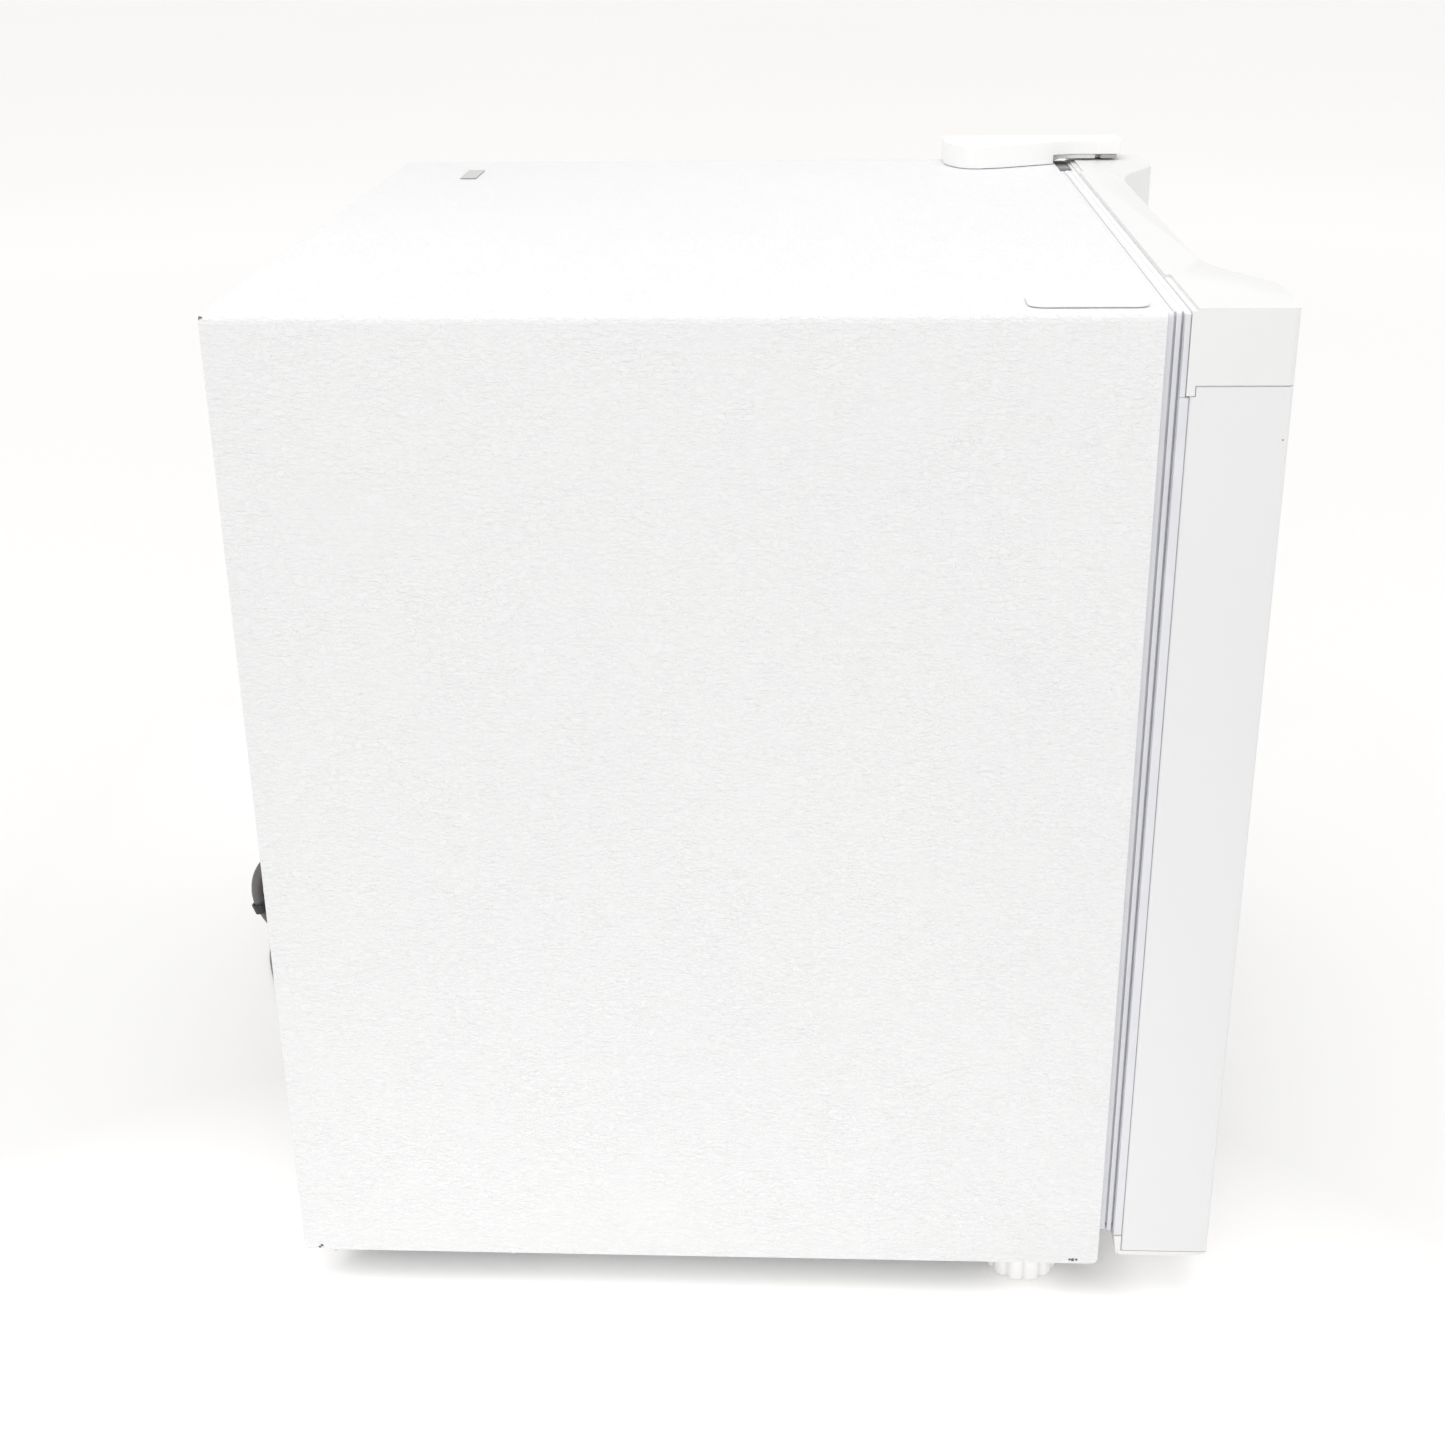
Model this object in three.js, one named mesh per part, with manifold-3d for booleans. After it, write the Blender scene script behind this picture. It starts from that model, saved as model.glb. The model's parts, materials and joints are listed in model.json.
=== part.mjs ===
// Compact cube refrigerator: bowed-front door on right-hand hinges with a scooped grip in its top cap,
// foamed cabinet with hot-wall condenser, ice box, machine compartment, levelling feet and a coiled mains lead.
// Units are millimetres and +Z is up. The front faces -Y, +X is the right-hand side seen from the front.
import * as THREE from 'three';
import { mergeVertices } from 'three/addons/utils/BufferGeometryUtils.js';
import Module from 'manifold-3d';

const wasm = await Module();
wasm.setup();

// ---------------------------------------------------------------- driving dimensions
const W = 460;              // cabinet width
const D = 396;              // cabinet depth, front rim to rear
const H = 470.7;            // cabinet height without feet
const FOOT_H = 21;          // floor to cabinet underside
const SHEET = 1.0;          // steel sheet
const GAP = 0.3;            // clearance between neighbouring pieces
const DOOR_REAR = -9.7;     // door body's rear face, from the cabinet's front rim
const SKIN_REAR = -11.2;     // the door sheet's rear edge
const DOOR_FRONT = -55.0;   // door front at its middle
const DOOR_EDGE = -53.0;    // door front at its side edges
const DOOR_LIFT = 6;        // door underside above the cabinet underside
const DOOR_OVER = 1.6;      // door top above the cabinet top
const CAP_SPLIT = 30.2;     // top cap's lower edge below the cabinet top
const GRIP_BACK = -30.0;    // front face of the cap inside the grip scoop
const WALL = 36;            // cabinet side wall, outside to liner
const LINER_T = 2;
const INNER_TOP = 40;       // wall over the interior
const INNER_BOTTOM = 45;    // wall under the interior
const INNER_REAR = 354;     // liner's rear inner face
const STEP_Y = 250;         // liner step over the machine compartment
const STEP_Z = 203;
const MACH_Y = 277;         // machine compartment's front face
const MACH_Z = 172;         // machine compartment's roof
const HINGE_X = 221.5;      // door axis
const HINGE_Y = -24.5;
const PIN_R = 3.5;
const FOOT_R = 18;          // front foot knob
const FOOT_X = 202;
const FOOT_Y = 34.5;
const CORD_R = 3.0;         // mains lead
const CORD_X = -150;        // where the lead leaves the rear panel
const CORD_Z = 217;
const COIL_X = 150;         // coil of spare lead on the floor
const COIL_Y = D + 61.5;
const COIL_R = 36;          // middle of its turns
const EVAP = { x0: -186, x1: 116, y0: 112, y1: 330, z0: 362, z1: 447, t: 1.8 };
const TRAY_Z = 338;
const SHELF_Z = 237;
const KNOB = { x: 156, z: 424, y: 116 };

const hw = W / 2;
const zb = FOOT_H;                // cabinet underside
const zt = FOOT_H + H;            // cabinet top
const zDoorB = zb + DOOR_LIFT;
const zDoorT = zt + DOOR_OVER;
const zSplit = zt - CAP_SPLIT;
const Y_SHIFT = -(DOOR_FRONT + D) / 2; // centres the appliance on the origin

// ---------------------------------------------------------------- shape helpers
function toManifold(geometry) {
  let g = geometry.clone();
  g.deleteAttribute('normal');
  g.deleteAttribute('uv');
  g = mergeVertices(g, 1e-4);
  const vertProperties = Float32Array.from(g.attributes.position.array);
  const triVerts = Uint32Array.from(g.index.array);
  return new wasm.Manifold(new wasm.Mesh({ numProp: 3, vertProperties, triVerts }));
}
function toGeometry(solid) {
  const m = solid.getMesh();
  const g = new THREE.BufferGeometry();
  const p = new Float32Array(m.numVert * 3);
  for (let i = 0; i < m.numVert; i++) for (let k = 0; k < 3; k++) p[3 * i + k] = m.vertProperties[i * m.numProp + k];
  g.setAttribute('position', new THREE.BufferAttribute(p, 3));
  g.setIndex(new THREE.BufferAttribute(Uint32Array.from(m.triVerts), 1));
  const flat = g.toNonIndexed();
  flat.computeVertexNormals();
  return flat;
}
const box = (x0, x1, y0, y1, z0, z1) => toManifold(
  new THREE.BoxGeometry(x1 - x0, y1 - y0, z1 - z0).translate((x0 + x1) / 2, (y0 + y1) / 2, (z0 + z1) / 2));
function extruded(points, depth, holes = []) {
  const shape = new THREE.Shape(points.map(p => new THREE.Vector2(p[0], p[1])));
  for (const h of holes) shape.holes.push(new THREE.Path(h.map(p => new THREE.Vector2(p[0], p[1]))));
  return new THREE.ExtrudeGeometry(shape, { depth, bevelEnabled: false, steps: 1 });
}
// plan outline (x, y) raised from z0 to z1
const prismZ = (pts, z0, z1, holes) => toManifold(extruded(pts, z1 - z0, holes).translate(0, 0, z0));
// outline (x, z) run from y0 to y1
const prismY = (pts, y0, y1, holes) => toManifold(extruded(pts, y1 - y0, holes).rotateX(Math.PI / 2).translate(0, y1, 0));
// outline (y, z) run from x0 to x1
const prismX = (pts, x0, x1) => toManifold(
  extruded(pts, x1 - x0).applyMatrix4(new THREE.Matrix4().set(0, 0, 1, 0, 1, 0, 0, 0, 0, 1, 0, 0, 0, 0, 0, 1)).translate(x0, 0, 0));
function latheZ(profile, x, y, z, segments = 24) {
  const g = new THREE.LatheGeometry(profile.map(p => new THREE.Vector2(p[0], p[1])), segments);
  return toManifold(g.rotateX(Math.PI / 2).translate(x, y, z));
}
function latheDir(profile, from, dir, segments = 24) {
  const g = new THREE.LatheGeometry(profile.map(p => new THREE.Vector2(p[0], p[1])), segments);
  const q = new THREE.Quaternion().setFromUnitVectors(new THREE.Vector3(0, 1, 0), dir.clone().normalize());
  return toManifold(g.applyQuaternion(q).translate(from.x, from.y, from.z));
}
const cylZ = (x, y, z0, z1, r, seg = 20) => latheZ([[0, 0], [r, 0], [r, z1 - z0], [0, z1 - z0]], x, y, z0, seg);
const cylDir = (from, to, r, seg = 16) => {
  const a = new THREE.Vector3(...from), b = new THREE.Vector3(...to);
  const L = a.distanceTo(b);
  return latheDir([[0, 0], [r, 0], [r, L], [0, L]], a, b.clone().sub(a), seg);
};
function tube(points, r, sides, steps, closed = false) {
  const curve = new THREE.CatmullRomCurve3(points.map(p => new THREE.Vector3(...p)), closed, 'centripetal');
  curve.arcLengthDivisions = 800;
  const ring = [];
  for (let i = 0; i < sides; i++) {
    const a = (i + 0.5) / sides * 2 * Math.PI;
    ring.push(new THREE.Vector2(r * Math.cos(a), r * Math.sin(a)));
  }
  return new THREE.ExtrudeGeometry(new THREE.Shape(ring), { steps, extrudePath: curve, bevelEnabled: false });
}
const join = (...s) => s.reduce((a, b) => a.add(b));
const cut = (a, ...s) => s.reduce((p, b) => p.subtract(b), a);
// rectangle (x0..x1, z0..z1) with rounded corners, counter-clockwise
function roundRect(x0, x1, z0, z1, r, n = 3) {
  const pts = [];
  for (const [cx, cz, a0] of [[x1 - r, z0 + r, -90], [x1 - r, z1 - r, 0], [x0 + r, z1 - r, 90], [x0 + r, z0 + r, 180]]) {
    for (let i = 0; i <= n; i++) {
      const a = (a0 + 90 * i / n) * Math.PI / 180;
      pts.push([cx + r * Math.cos(a), cz + r * Math.sin(a)]);
    }
  }
  return pts;
}
// cabinet section (x, z) inset from the outside: square at the bottom, rounded at the two top bends
function cabinetSection(inset, z0, n = 4) {
  const r = Math.max(4 - inset, 0.6), x = hw - inset, z = zt - inset, pts = [[-x, z0], [x, z0]];
  for (const [cx, a0] of [[x - r, 0], [-x + r, 90]]) {
    for (let i = 0; i <= n; i++) {
      const a = (a0 + 90 * i / n) * Math.PI / 180;
      pts.push([cx + r * Math.cos(a), z - r + r * Math.sin(a)]);
    }
  }
  return pts;
}
// door plan outline: flat sides, lightly bowed edges running into a flat front. inset moves every face inwards
function doorFront(inset) {
  const left = [[0, DOOR_EDGE + 2.2], [0.35, DOOR_EDGE + 1.0], [1.4, DOOR_EDGE], [6, DOOR_EDGE - 0.65], [12, DOOR_EDGE - 1.25], [20, DOOR_EDGE - 1.7], [30, DOOR_FRONT]];
  return left.map(([s, y]) => [-hw + s * (1 - inset / 60) + inset, y + inset]);
}
function doorOutline(inset, rear) {
  const l = doorFront(inset);
  const r = l.map(([x, y]) => [-x, y]).reverse();
  return [[-hw + inset, rear], ...l, ...r, [hw - inset, rear]];
}
// distance from the side edge and y of the scooped front of the top cap
const SCOOP = new THREE.SplineCurve([[38, -55], [46, -54.6], [52, -53.2], [58, -51], [65, -47.1], [72, -43], [79.5, -39], [88, -35.2], [99, -32], [111, -30.5], [124, GRIP_BACK], [132, GRIP_BACK]]
  .map(p => new THREE.Vector2(p[0], p[1]))).getPoints(44).map(p => [p.x, p.y]).filter(p => p[0] >= 40 && p[0] <= 125);

const materials = {
  shell: [0xf0f1f1, 0.42, 0.0], skin: [0xeceef2, 0.3, 0.0], cap: [0xf0efec, 0.38, 0.0], liner: [0xf3f4f3, 0.35, 0.0],
  foam: [0xe6d9a8, 0.9, 0.0], gasket: [0xdfe2e6, 0.6, 0.0], galvanised: [0xb4b8bb, 0.4, 0.9], hinge_steel: [0x9a9c9d, 0.35, 0.9],
  black_steel: [0x17181a, 0.35, 0.4], copper: [0xb36b43, 0.3, 0.95], aluminium: [0xc7cbce, 0.38, 0.9], rubber: [0x1d1d1e, 0.8, 0.0],
  black_plastic: [0x202123, 0.5, 0.0], cord: [0x4a4644, 0.55, 0.0], glass: [0xcfe3dc, 0.05, 0.0], clear_plastic: [0xe9f1f2, 0.12, 0.0],
  label: [0xb9babb, 0.5, 0.0], zinc: [0xc9ccce, 0.3, 0.9], brass: [0xb59a55, 0.3, 0.9],
};
const material = {};
for (const [k, [color, roughness, metalness]] of Object.entries(materials)) {
  material[k] = new THREE.MeshStandardMaterial({ color, roughness, metalness });
}

const fridge = new THREE.Group();
fridge.position.y = Y_SHIFT;
function place(name, shape, mat) {
  const geometry = shape.isBufferGeometry ? shape : toGeometry(shape);
  const mesh = new THREE.Mesh(geometry, material[mat]);
  mesh.name = name;
  fridge.add(mesh);
}

// ---------------------------------------------------------------- fastener places
const upperScrews = [[199, 22], [214, 46]];
const lowerScrews = [[190, 30], [208, 30]];
const footPlaces = [[-FOOT_X, FOOT_Y], [FOOT_X, FOOT_Y]];

// ---------------------------------------------------------------- cabinet sheet metal
let shell = cut(prismY(cabinetSection(0, zb), 0, D), prismY(cabinetSection(SHEET, zb - 5), -5, D + 5));
const rim = (y0, y1, width) => cut(prismY(cabinetSection(0, zb), y0, y1), prismY(cabinetSection(width, zb - 5), y0 - 1, y1 + 1));
shell = join(shell, rim(0, SHEET, 14), rim(D - SHEET, D, 12),
  box(-hw + 0.5, -hw + 15, 0.5, D - 0.5, zb, zb + SHEET), box(hw - 15, hw - 0.5, 0.5, D - 0.5, zb, zb + SHEET));
shell = cut(shell, ...upperScrews.map(([x, y]) => cylZ(x, y, zt - 5, zt + 5, 2.3, 16)));
// both lower front corners of the side sheets are rounded off
for (const s of [-1, 1]) {
  const pts = [[-1, zb - 1], [3.8, zb - 1], [3.8, zb], [2.0, zb + 0.25], [0.9, zb + 0.9], [0.25, zb + 1.8], [0, zb + 2.8], [-1, zb + 2.8]];
  shell = cut(shell, prismX(pts, Math.min(s * (hw - 14.9), s * (hw + 1)), Math.max(s * (hw - 14.9), s * (hw + 1))));
}
place('outer_shell', shell, 'shell');

place('rear_panel', box(-hw + 1.3, hw - 1.3, D - 2.3, D - 1.3, MACH_Z + 1.3, zt - 4.4), 'galvanised');
place('step_panel', join(
  box(-hw + 1.4, hw - 1.4, MACH_Y - 1, MACH_Y, zb + 1.3, MACH_Z + 1),
  box(-hw + 1.4, hw - 1.4, MACH_Y - 0.5, D - 1.4, MACH_Z, MACH_Z + 1),
  box(-hw + 1.4, hw - 1.4, MACH_Y - 0.5, MACH_Y + 14, zb + 1.3, zb + 2.3)), 'galvanised');
let bottom = box(-hw + 15.3, hw - 15.3, 3.6, MACH_Y - 1.3, zb, zb + SHEET);
// threaded bosses for the front feet are part of the bottom panel
for (const [x, y] of footPlaces) bottom = join(bottom, cylZ(x, y, zb + 0.5, zb + 10, 9, 24));
place('bottom_panel', cut(bottom, ...footPlaces.map(([x, y]) => cylZ(x, y, zb - 2, zb + 14, 4.3, 20))), 'galvanised');
place('front_crossbar', cut(
  join(box(-hw + 1.5, hw - 1.5, 1.4, 2.4, zb + 1.3, zb + 17), box(-hw + 1.5, hw - 1.5, 1.9, 12, zb + 16, zb + 17)),
  ...lowerScrews.map(([x, z]) => cylDir([x, -5, z], [x, 12, z], 2.2))), 'galvanised');

// ---------------------------------------------------------------- liner and insulation
const ix = hw - WALL, iz0 = zb + INNER_BOTTOM, iz1 = zt - INNER_TOP;
const innerSection = (grow, y0, y1) => [[y0, iz0 - grow], [STEP_Y + grow, iz0 - grow], [STEP_Y + grow, STEP_Z - grow],
  [y1 + grow, STEP_Z - grow], [y1 + grow, iz1 + grow], [y0, iz1 + grow]];
let liner = join(
  prismX(innerSection(LINER_T, 1.4, INNER_REAR), -ix - LINER_T, ix + LINER_T),
  prismY(roundRect(-hw + 1.5, hw - 1.5, zb + 17.4, zt - 1.6, 3), 1.4, 3.2));
liner = cut(liner, prismX(innerSection(0, -2, INNER_REAR), -ix, ix));
// shelf guides and ice-box ledges moulded into both side walls
for (const s of [-1, 1]) {
  const rail = (w, y0, y1, z0, z1) => box(Math.min(s * ix + s * 0.5, s * (ix - w)), Math.max(s * ix + s * 0.5, s * (ix - w)), y0, y1, z0, z1);
  liner = join(liner, rail(8, 40, 345, SHELF_Z - 5.3, SHELF_Z - 0.8), rail(6, 70, 345, SHELF_Z + 6.2, SHELF_Z + 9),
    rail(7, 60, 238, 158, 162), rail(7, 60, 238, 150, 152.5));
}
place('inner_liner', liner, 'liner');

let foam = prismY(cabinetSection(SHEET + GAP, zb + SHEET + GAP), 3.6, D - 2.6);
foam = cut(foam,
  prismX(innerSection(LINER_T + GAP, 0, INNER_REAR), -ix - LINER_T - GAP, ix + LINER_T + GAP),
  box(-hw, hw, MACH_Y - 1 - GAP, D + 5, zb - 5, MACH_Z + 1 + GAP),
  box(-hw, hw, 0, 12.3, zb - 5, zb + 17.3),
  box(-hw, hw, D - 14.5, D, zt - 4.2, zt),
  // shallow pockets for the condenser loops behind both side sheets
  box(-hw, -hw + 7.2, 24, 372, 190, 478), box(hw - 7.2, hw, 24, 372, 190, 478),
  box(-hw, -hw + 7.2, 24, 262, 60, 200), box(hw - 7.2, hw, 24, 262, 60, 200),
  ...footPlaces.map(([x, y]) => cylZ(x, y, zb - 2, zb + 30, 13, 20)),
  ...upperScrews.map(([x, y]) => cylZ(x, y, zt - 18, zt + 5, 2.6, 12)),
  // seat of the lead's gland in the rear wall
  cylDir([CORD_X, D - 14, CORD_Z], [CORD_X, D + 4, CORD_Z], 9, 16));
place('foam_insulation', foam, 'foam');

// ---------------------------------------------------------------- hot-wall condenser loops
for (const [name, s] of [['condenser_coil_left', -1], ['condenser_coil_right', 1]]) {
  const x = s * (hw - 4.2), pts = [];
  const ys = [[34, 362], [34, 362], [34, 362], [34, 362], [34, 250], [34, 250]];
  let z = 466;
  ys.forEach(([a, b], i) => {
    const [y0, y1] = i % 2 ? [b, a] : [a, b];
    const dir = Math.sign(y1 - y0), nextB = ys[Math.min(i + 1, ys.length - 1)][1];
    const yEnd = i % 2 ? y1 : Math.min(y1, nextB);
    pts.push([x, y0 + dir * (i ? 22 : 0), z], [x, (y0 + yEnd) / 2, z], [x, yEnd - dir * 22, z]);
    if (i < ys.length - 1) pts.push([x, yEnd - dir * 6, z - 9], [x, yEnd, z - 28], [x, yEnd - dir * 6, z - 47]);
    z -= 56;
  });
  place(name, tube(pts, 2.4, 6, 60), 'copper');
}

// ---------------------------------------------------------------- ice box, tray guides, thermostat
const e = EVAP;
let evaporator = cut(box(e.x0, e.x1, e.y0, e.y1, e.z0, e.z1), box(e.x0 + e.t, e.x1 - e.t, e.y0 - 5, e.y1 - e.t, e.z0 + e.t, e.z1 - e.t));
// hanging feet on its roof and raised refrigerant channels on its floor and roof
for (const x of [e.x0 + 30, e.x1 - 30]) evaporator = join(evaporator, box(x - 8, x + 8, e.y0 + 40, e.y0 + 60, e.z1 - 0.5, iz1 - GAP), box(x - 8, x + 8, e.y1 - 50, e.y1 - 30, e.z1 - 0.5, iz1 - GAP));
for (let i = 0; i < 5; i++) {
  const x = e.x0 + 40 + i * (e.x1 - e.x0 - 80) / 4;
  evaporator = join(evaporator, box(x - 4, x + 4, e.y0 + 14, e.y1 - 14, e.z0 - 1.6, e.z0 + 0.5));
}
place('evaporator', evaporator, 'aluminium');

const fz0 = e.z0 - 4, fz1 = e.z1 + 2.5, fy0 = e.y0 - 8, fy1 = e.y0 - GAP;
let frame = cut(box(e.x0 - 5, e.x1 + 5, fy0, fy1, fz0, fz1), box(e.x0 + 5, e.x1 - 5, fy0 - 5, fy1 + 5, e.z0 + 5, e.z1 - 5));
for (const x of [e.x0 - 5, e.x1 + 1.5]) frame = join(frame, box(x, x + 3.5, fy0 - 10, fy0 + 0.5, fz0, fz0 + 14));
const flapAxis = [fy0 - 4.5, fz0 + 7];
frame = cut(frame, cylDir([e.x0 - 20, ...flapAxis], [e.x1 + 20, ...flapAxis], 2.3, 16));
place('freezer_frame', frame, 'liner');

for (const [name, x0, x1, hook] of [['tray_runner_left', e.x0, e.x0 + 3, e.x0 + 9], ['tray_runner_right', e.x1 - 3, e.x1, e.x1 - 9]]) {
  place(name, join(
    box(x0, x1, e.y0 + 2, e.y1 - 2, TRAY_Z - 3, e.z0 - 2),
    box(Math.min(x0, hook), Math.max(x1, hook), e.y0 + 2, e.y1 - 2, TRAY_Z - 3, TRAY_Z - 1)), 'liner');
}

let housing = cut(box(126, ix - 4, KNOB.y, KNOB.y + 78, 402, iz1 - GAP), box(128, ix - 6, KNOB.y + 2, KNOB.y + 76, 404, iz1 + 5));
housing = cut(housing, cylDir([KNOB.x, KNOB.y - 5, KNOB.z], [KNOB.x, KNOB.y + 5, KNOB.z], 4.4, 20));
place('thermostat_housing', housing, 'liner');
place('thermostat_control', cut(join(box(138, 176, KNOB.y + 10, KNOB.y + 50, 408, 444), box(144, 170, KNOB.y + 49.5, KNOB.y + 58, 412, 438)),
  cylDir([KNOB.x, KNOB.y - 5, KNOB.z], [KNOB.x, KNOB.y + 34, KNOB.z], 3.3, 16)), 'zinc');

// ---------------------------------------------------------------- machine compartment
const cx = 30, cy = 336;
place('compressor_base', join(
  box(-hw + 9, hw - 9, 291, 384, zb - 2.4, zb - GAP),
  box(-hw + 9, hw - 9, 291, 293, zb - 8, zb - 1), box(-hw + 9, hw - 9, 382, 384, zb - 8, zb - 1)), 'galvanised');
let compressor = latheZ([[0, 0], [34, 0], [46, 5], [49, 12], [49.5, 44], [51.5, 45], [51.5, 49], [49.5, 50], [49, 80], [45, 94], [36, 103], [20, 108], [0, 109]], cx, cy, zb + 14, 32);
compressor = join(compressor, prismZ(roundRect(cx - 72, cx + 72, cy - 40, cy + 40, 10), zb + 12, zb + 15));
compressor = join(compressor, cylDir([cx - 34, cy + 20, zb + 60], [cx - 62, cy + 30, zb + 60], 4.2, 12), cylDir([cx - 40, cy - 12, zb + 74], [cx - 64, cy - 18, zb + 74], 3.6, 12),
  box(cx + 40, cx + 54, cy - 16, cy + 16, zb + 42, zb + 78));
place('compressor', compressor, 'black_steel');
[[-1, -1], [1, -1], [-1, 1], [1, 1]].forEach(([a, b], i) => {
  place(`compressor_mount_${i + 1}`, latheZ([[0, 0], [10, 0], [10, 3], [7.5, 4], [7.5, 8], [9.5, 9], [9.5, 11.4], [0, 11.4]], cx + a * 60, cy + b * 29, zb + 0.3 , 14), 'rubber');
});
place('starter_box', join(box(cx + 54.4, cx + 92, cy - 24, cy + 24, zb + 36, zb + 84), box(cx + 60, cx + 86, cy - 18, cy + 18, zb + 83.5, zb + 90)), 'black_plastic');
place('suction_tube', tube([[cx - 62.6, cy + 30.2, zb + 60], [cx - 72, cy + 34, zb + 60], [cx - 84, cy + 36, zb + 66], [cx - 90, cy + 34, zb + 84], [cx - 90, cy + 28, zb + 112], [cx - 90, cy + 20, zb + 134], [cx - 90, cy + 18, MACH_Z - 0.6]], 4, 8, 22), 'copper');
place('discharge_tube', tube([[cx - 64.6, cy - 18.2, zb + 74], [cx - 74, cy - 20, zb + 74], [cx - 92, cy - 18, zb + 76], [cx - 112, cy - 20, zb + 84], [cx - 118, cy - 26, zb + 100], [cx - 118, cy - 28, zb + 126], [cx - 118, cy - 28, MACH_Z - 0.6]], 3, 8, 24), 'copper');
place('filter_drier', latheZ([[0, 0], [2.2, 0], [2.2, 12], [4, 16], [9, 22], [9.6, 26], [9.6, 84], [9, 88], [4, 96], [2.4, 100], [2.4, 122], [0, 122]], -148, cy + 6, zb + 27, 18), 'copper');
for (const [name, s] of [['rear_foot_left', -1], ['rear_foot_right', 1]]) {
  place(name, latheZ([[0, 0], [10.5, 0], [12, 1.2], [12, 5], [10.5, 12], [9.5, zb - 2.7], [0, zb - 2.7]], s * 189, 352, 0, 20), 'rubber');
}

// ---------------------------------------------------------------- front feet
footPlaces.forEach(([x, y], i) => {
  const side = i ? 'right' : 'left', pts = [];
  const lobes = 12, n = 72;
  for (let k = 0; k < n; k++) {
    const a = k / n * 2 * Math.PI, phase = ((k / n * lobes) % 1) * 2 - 1;
    const r = FOOT_R - 2.3 * Math.pow(Math.abs(phase), 3.2);
    pts.push([x + r * Math.cos(a), y + r * Math.sin(a)]);
  }
  let foot = prismZ(pts, 0.9, 17.2);
  foot = join(foot, latheZ([[0, 0], [13.4, 0], [14.4, 0.95], [0, 0.95]], x, y, 0, 24), cylZ(x, y, 17, 19.4, 10, 24), cylZ(x, y, 19, zb + 26, 3.9, 16));
  place(`front_foot_${side}`, foot, 'cap');
});

// ---------------------------------------------------------------- door hinges
const hp = zt + 2.6; // underside of the upper bracket over the door
let bracket = join(
  prismX([[-37.2, hp], [-3, hp], [3.2, zt + GAP], [58, zt + GAP], [58, zt + GAP + 2.5], [4.4, zt + GAP + 2.5], [-1.8, hp + 2.4], [-37.2, hp + 2.4]], 205, 227),
  prismZ([[206, 8], [206, 58], [192, 58], [189, 52], [189, 34], [199.8, 10]], zt + GAP, zt + GAP + 2.5),
  cylZ(HINGE_X - 0.3, HINGE_Y, zt - 14, hp + 0.5, PIN_R, 24));
bracket = cut(bracket, ...upperScrews.map(([x, y]) => cylZ(x, y, zt - 5, zt + 9, 2.3, 16)));
// the pin is concentric with the door axis
bracket = cut(bracket, box(204, 208.6, -27.4, -24.2, hp - 1, hp + 4));
bracket = join(cut(bracket, cylZ(HINGE_X - 0.3, HINGE_Y, zt - 20, hp, 12, 24)), cylZ(HINGE_X, HINGE_Y, zt - 14, hp + 0.5, PIN_R, 24));
place('upper_hinge_bracket', bracket, 'hinge_steel');
upperScrews.forEach(([x, y], i) => place(`upper_hinge_screw_${i + 1}`, join(
  latheZ([[0, 0], [4.4, 0], [4.2, 1.4], [3, 2.3], [0, 2.5]], x, y, zt + 3.1, 18), cylZ(x, y, zt - 12, zt + 3.4, 2.0, 12)), 'zinc'));
place('upper_hinge_washer', latheZ([[3.9, 0], [7.4, 0], [7.4, 0.55], [3.9, 0.55], [3.9, 0]], HINGE_X, HINGE_Y, zDoorT + 0.15, 24), 'cap');

const coverPlan = [[228.4, 66], [203, 66], [194, 63.5], [185, 58.5], [180.5, 53], [180, 46], [183.5, 33], [200, -1], [203, -10], [203, -37.5], [205, -39.5], [226.4, -39.5], [228.4, -37.5]];
const coverIn = [[226.4, 64], [203.6, 64], [195, 61.7], [186.6, 57.2], [182.5, 52.3], [182.1, 46.2], [185.6, 33.6], [201.9, -0.2], [205, -9.6], [205, -37.5], [226.4, -37.5]].map(([x, y]) => [Math.min(x, 226.6), y]);
// the bracket's outer edge runs inside the cover's wall
let cover = cut(prismZ(coverPlan, zt + GAP, zt + 13.4), prismZ(coverIn.map(([x, y]) => [x > 226 ? 227.4 : x, y]), zt - 5, zt + 11.4));
cover = cut(cover, box(190, 240, -50, -0.8, zt - 5, zt + 5.3), box(190, 240, -4, 1.2, zt - 5, zt + 4), box(190, 204.4, -4, 5.5, zt - 5, zt + 5.3));
place('hinge_cover', cover, 'cap');

let lower = join(
  box(184, 227, -2.8, -0.4, zb + 1.2, zb + 16.4),
  prismZ([[184, -0.5], [184, -4], [196, -34], [198, -36], [226, -36], [228, -34], [228, -0.5]], zb + 1.2, zb + 3.7),
  cylZ(HINGE_X, HINGE_Y, zb + 3.2, zb + 20, PIN_R, 24));
lower = cut(lower, ...lowerScrews.map(([x, z]) => cylDir([x, -6, z], [x, 12, z], 2.2)));
place('lower_hinge_bracket', lower, 'hinge_steel');
lowerScrews.forEach(([x, z], i) => place(`lower_hinge_screw_${i + 1}`, join(
  latheDir([[0, 0], [4.2, 0], [4, 1.3], [2.8, 2.1], [0, 2.3]], new THREE.Vector3(x, -3.1, z), new THREE.Vector3(0, -1, 0), 16),
  cylDir([x, -3.3, z], [x, 11, z], 1.9, 12)), 'zinc'));

place('spare_hinge_hole_cover', prismZ(roundRect(-hw + 7.8, -hw + 31.8, 5.4, 55.2, 6, 4), zt + GAP, zt + GAP + 1.3), 'cap');
place('blank_label', box(hw - 77, hw - 43, D - 54.5, D - 45, zt + GAP, zt + GAP + 0.3), 'label');

// ---------------------------------------------------------------- door
const skinOuter = doorOutline(0, SKIN_REAR), skinInner = doorOutline(SHEET, SKIN_REAR + 3);
let skin = cut(prismZ(skinOuter, zDoorB + 2.5, zSplit - 0.15), prismZ(skinInner, zDoorB - 1, zSplit + 1));
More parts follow.
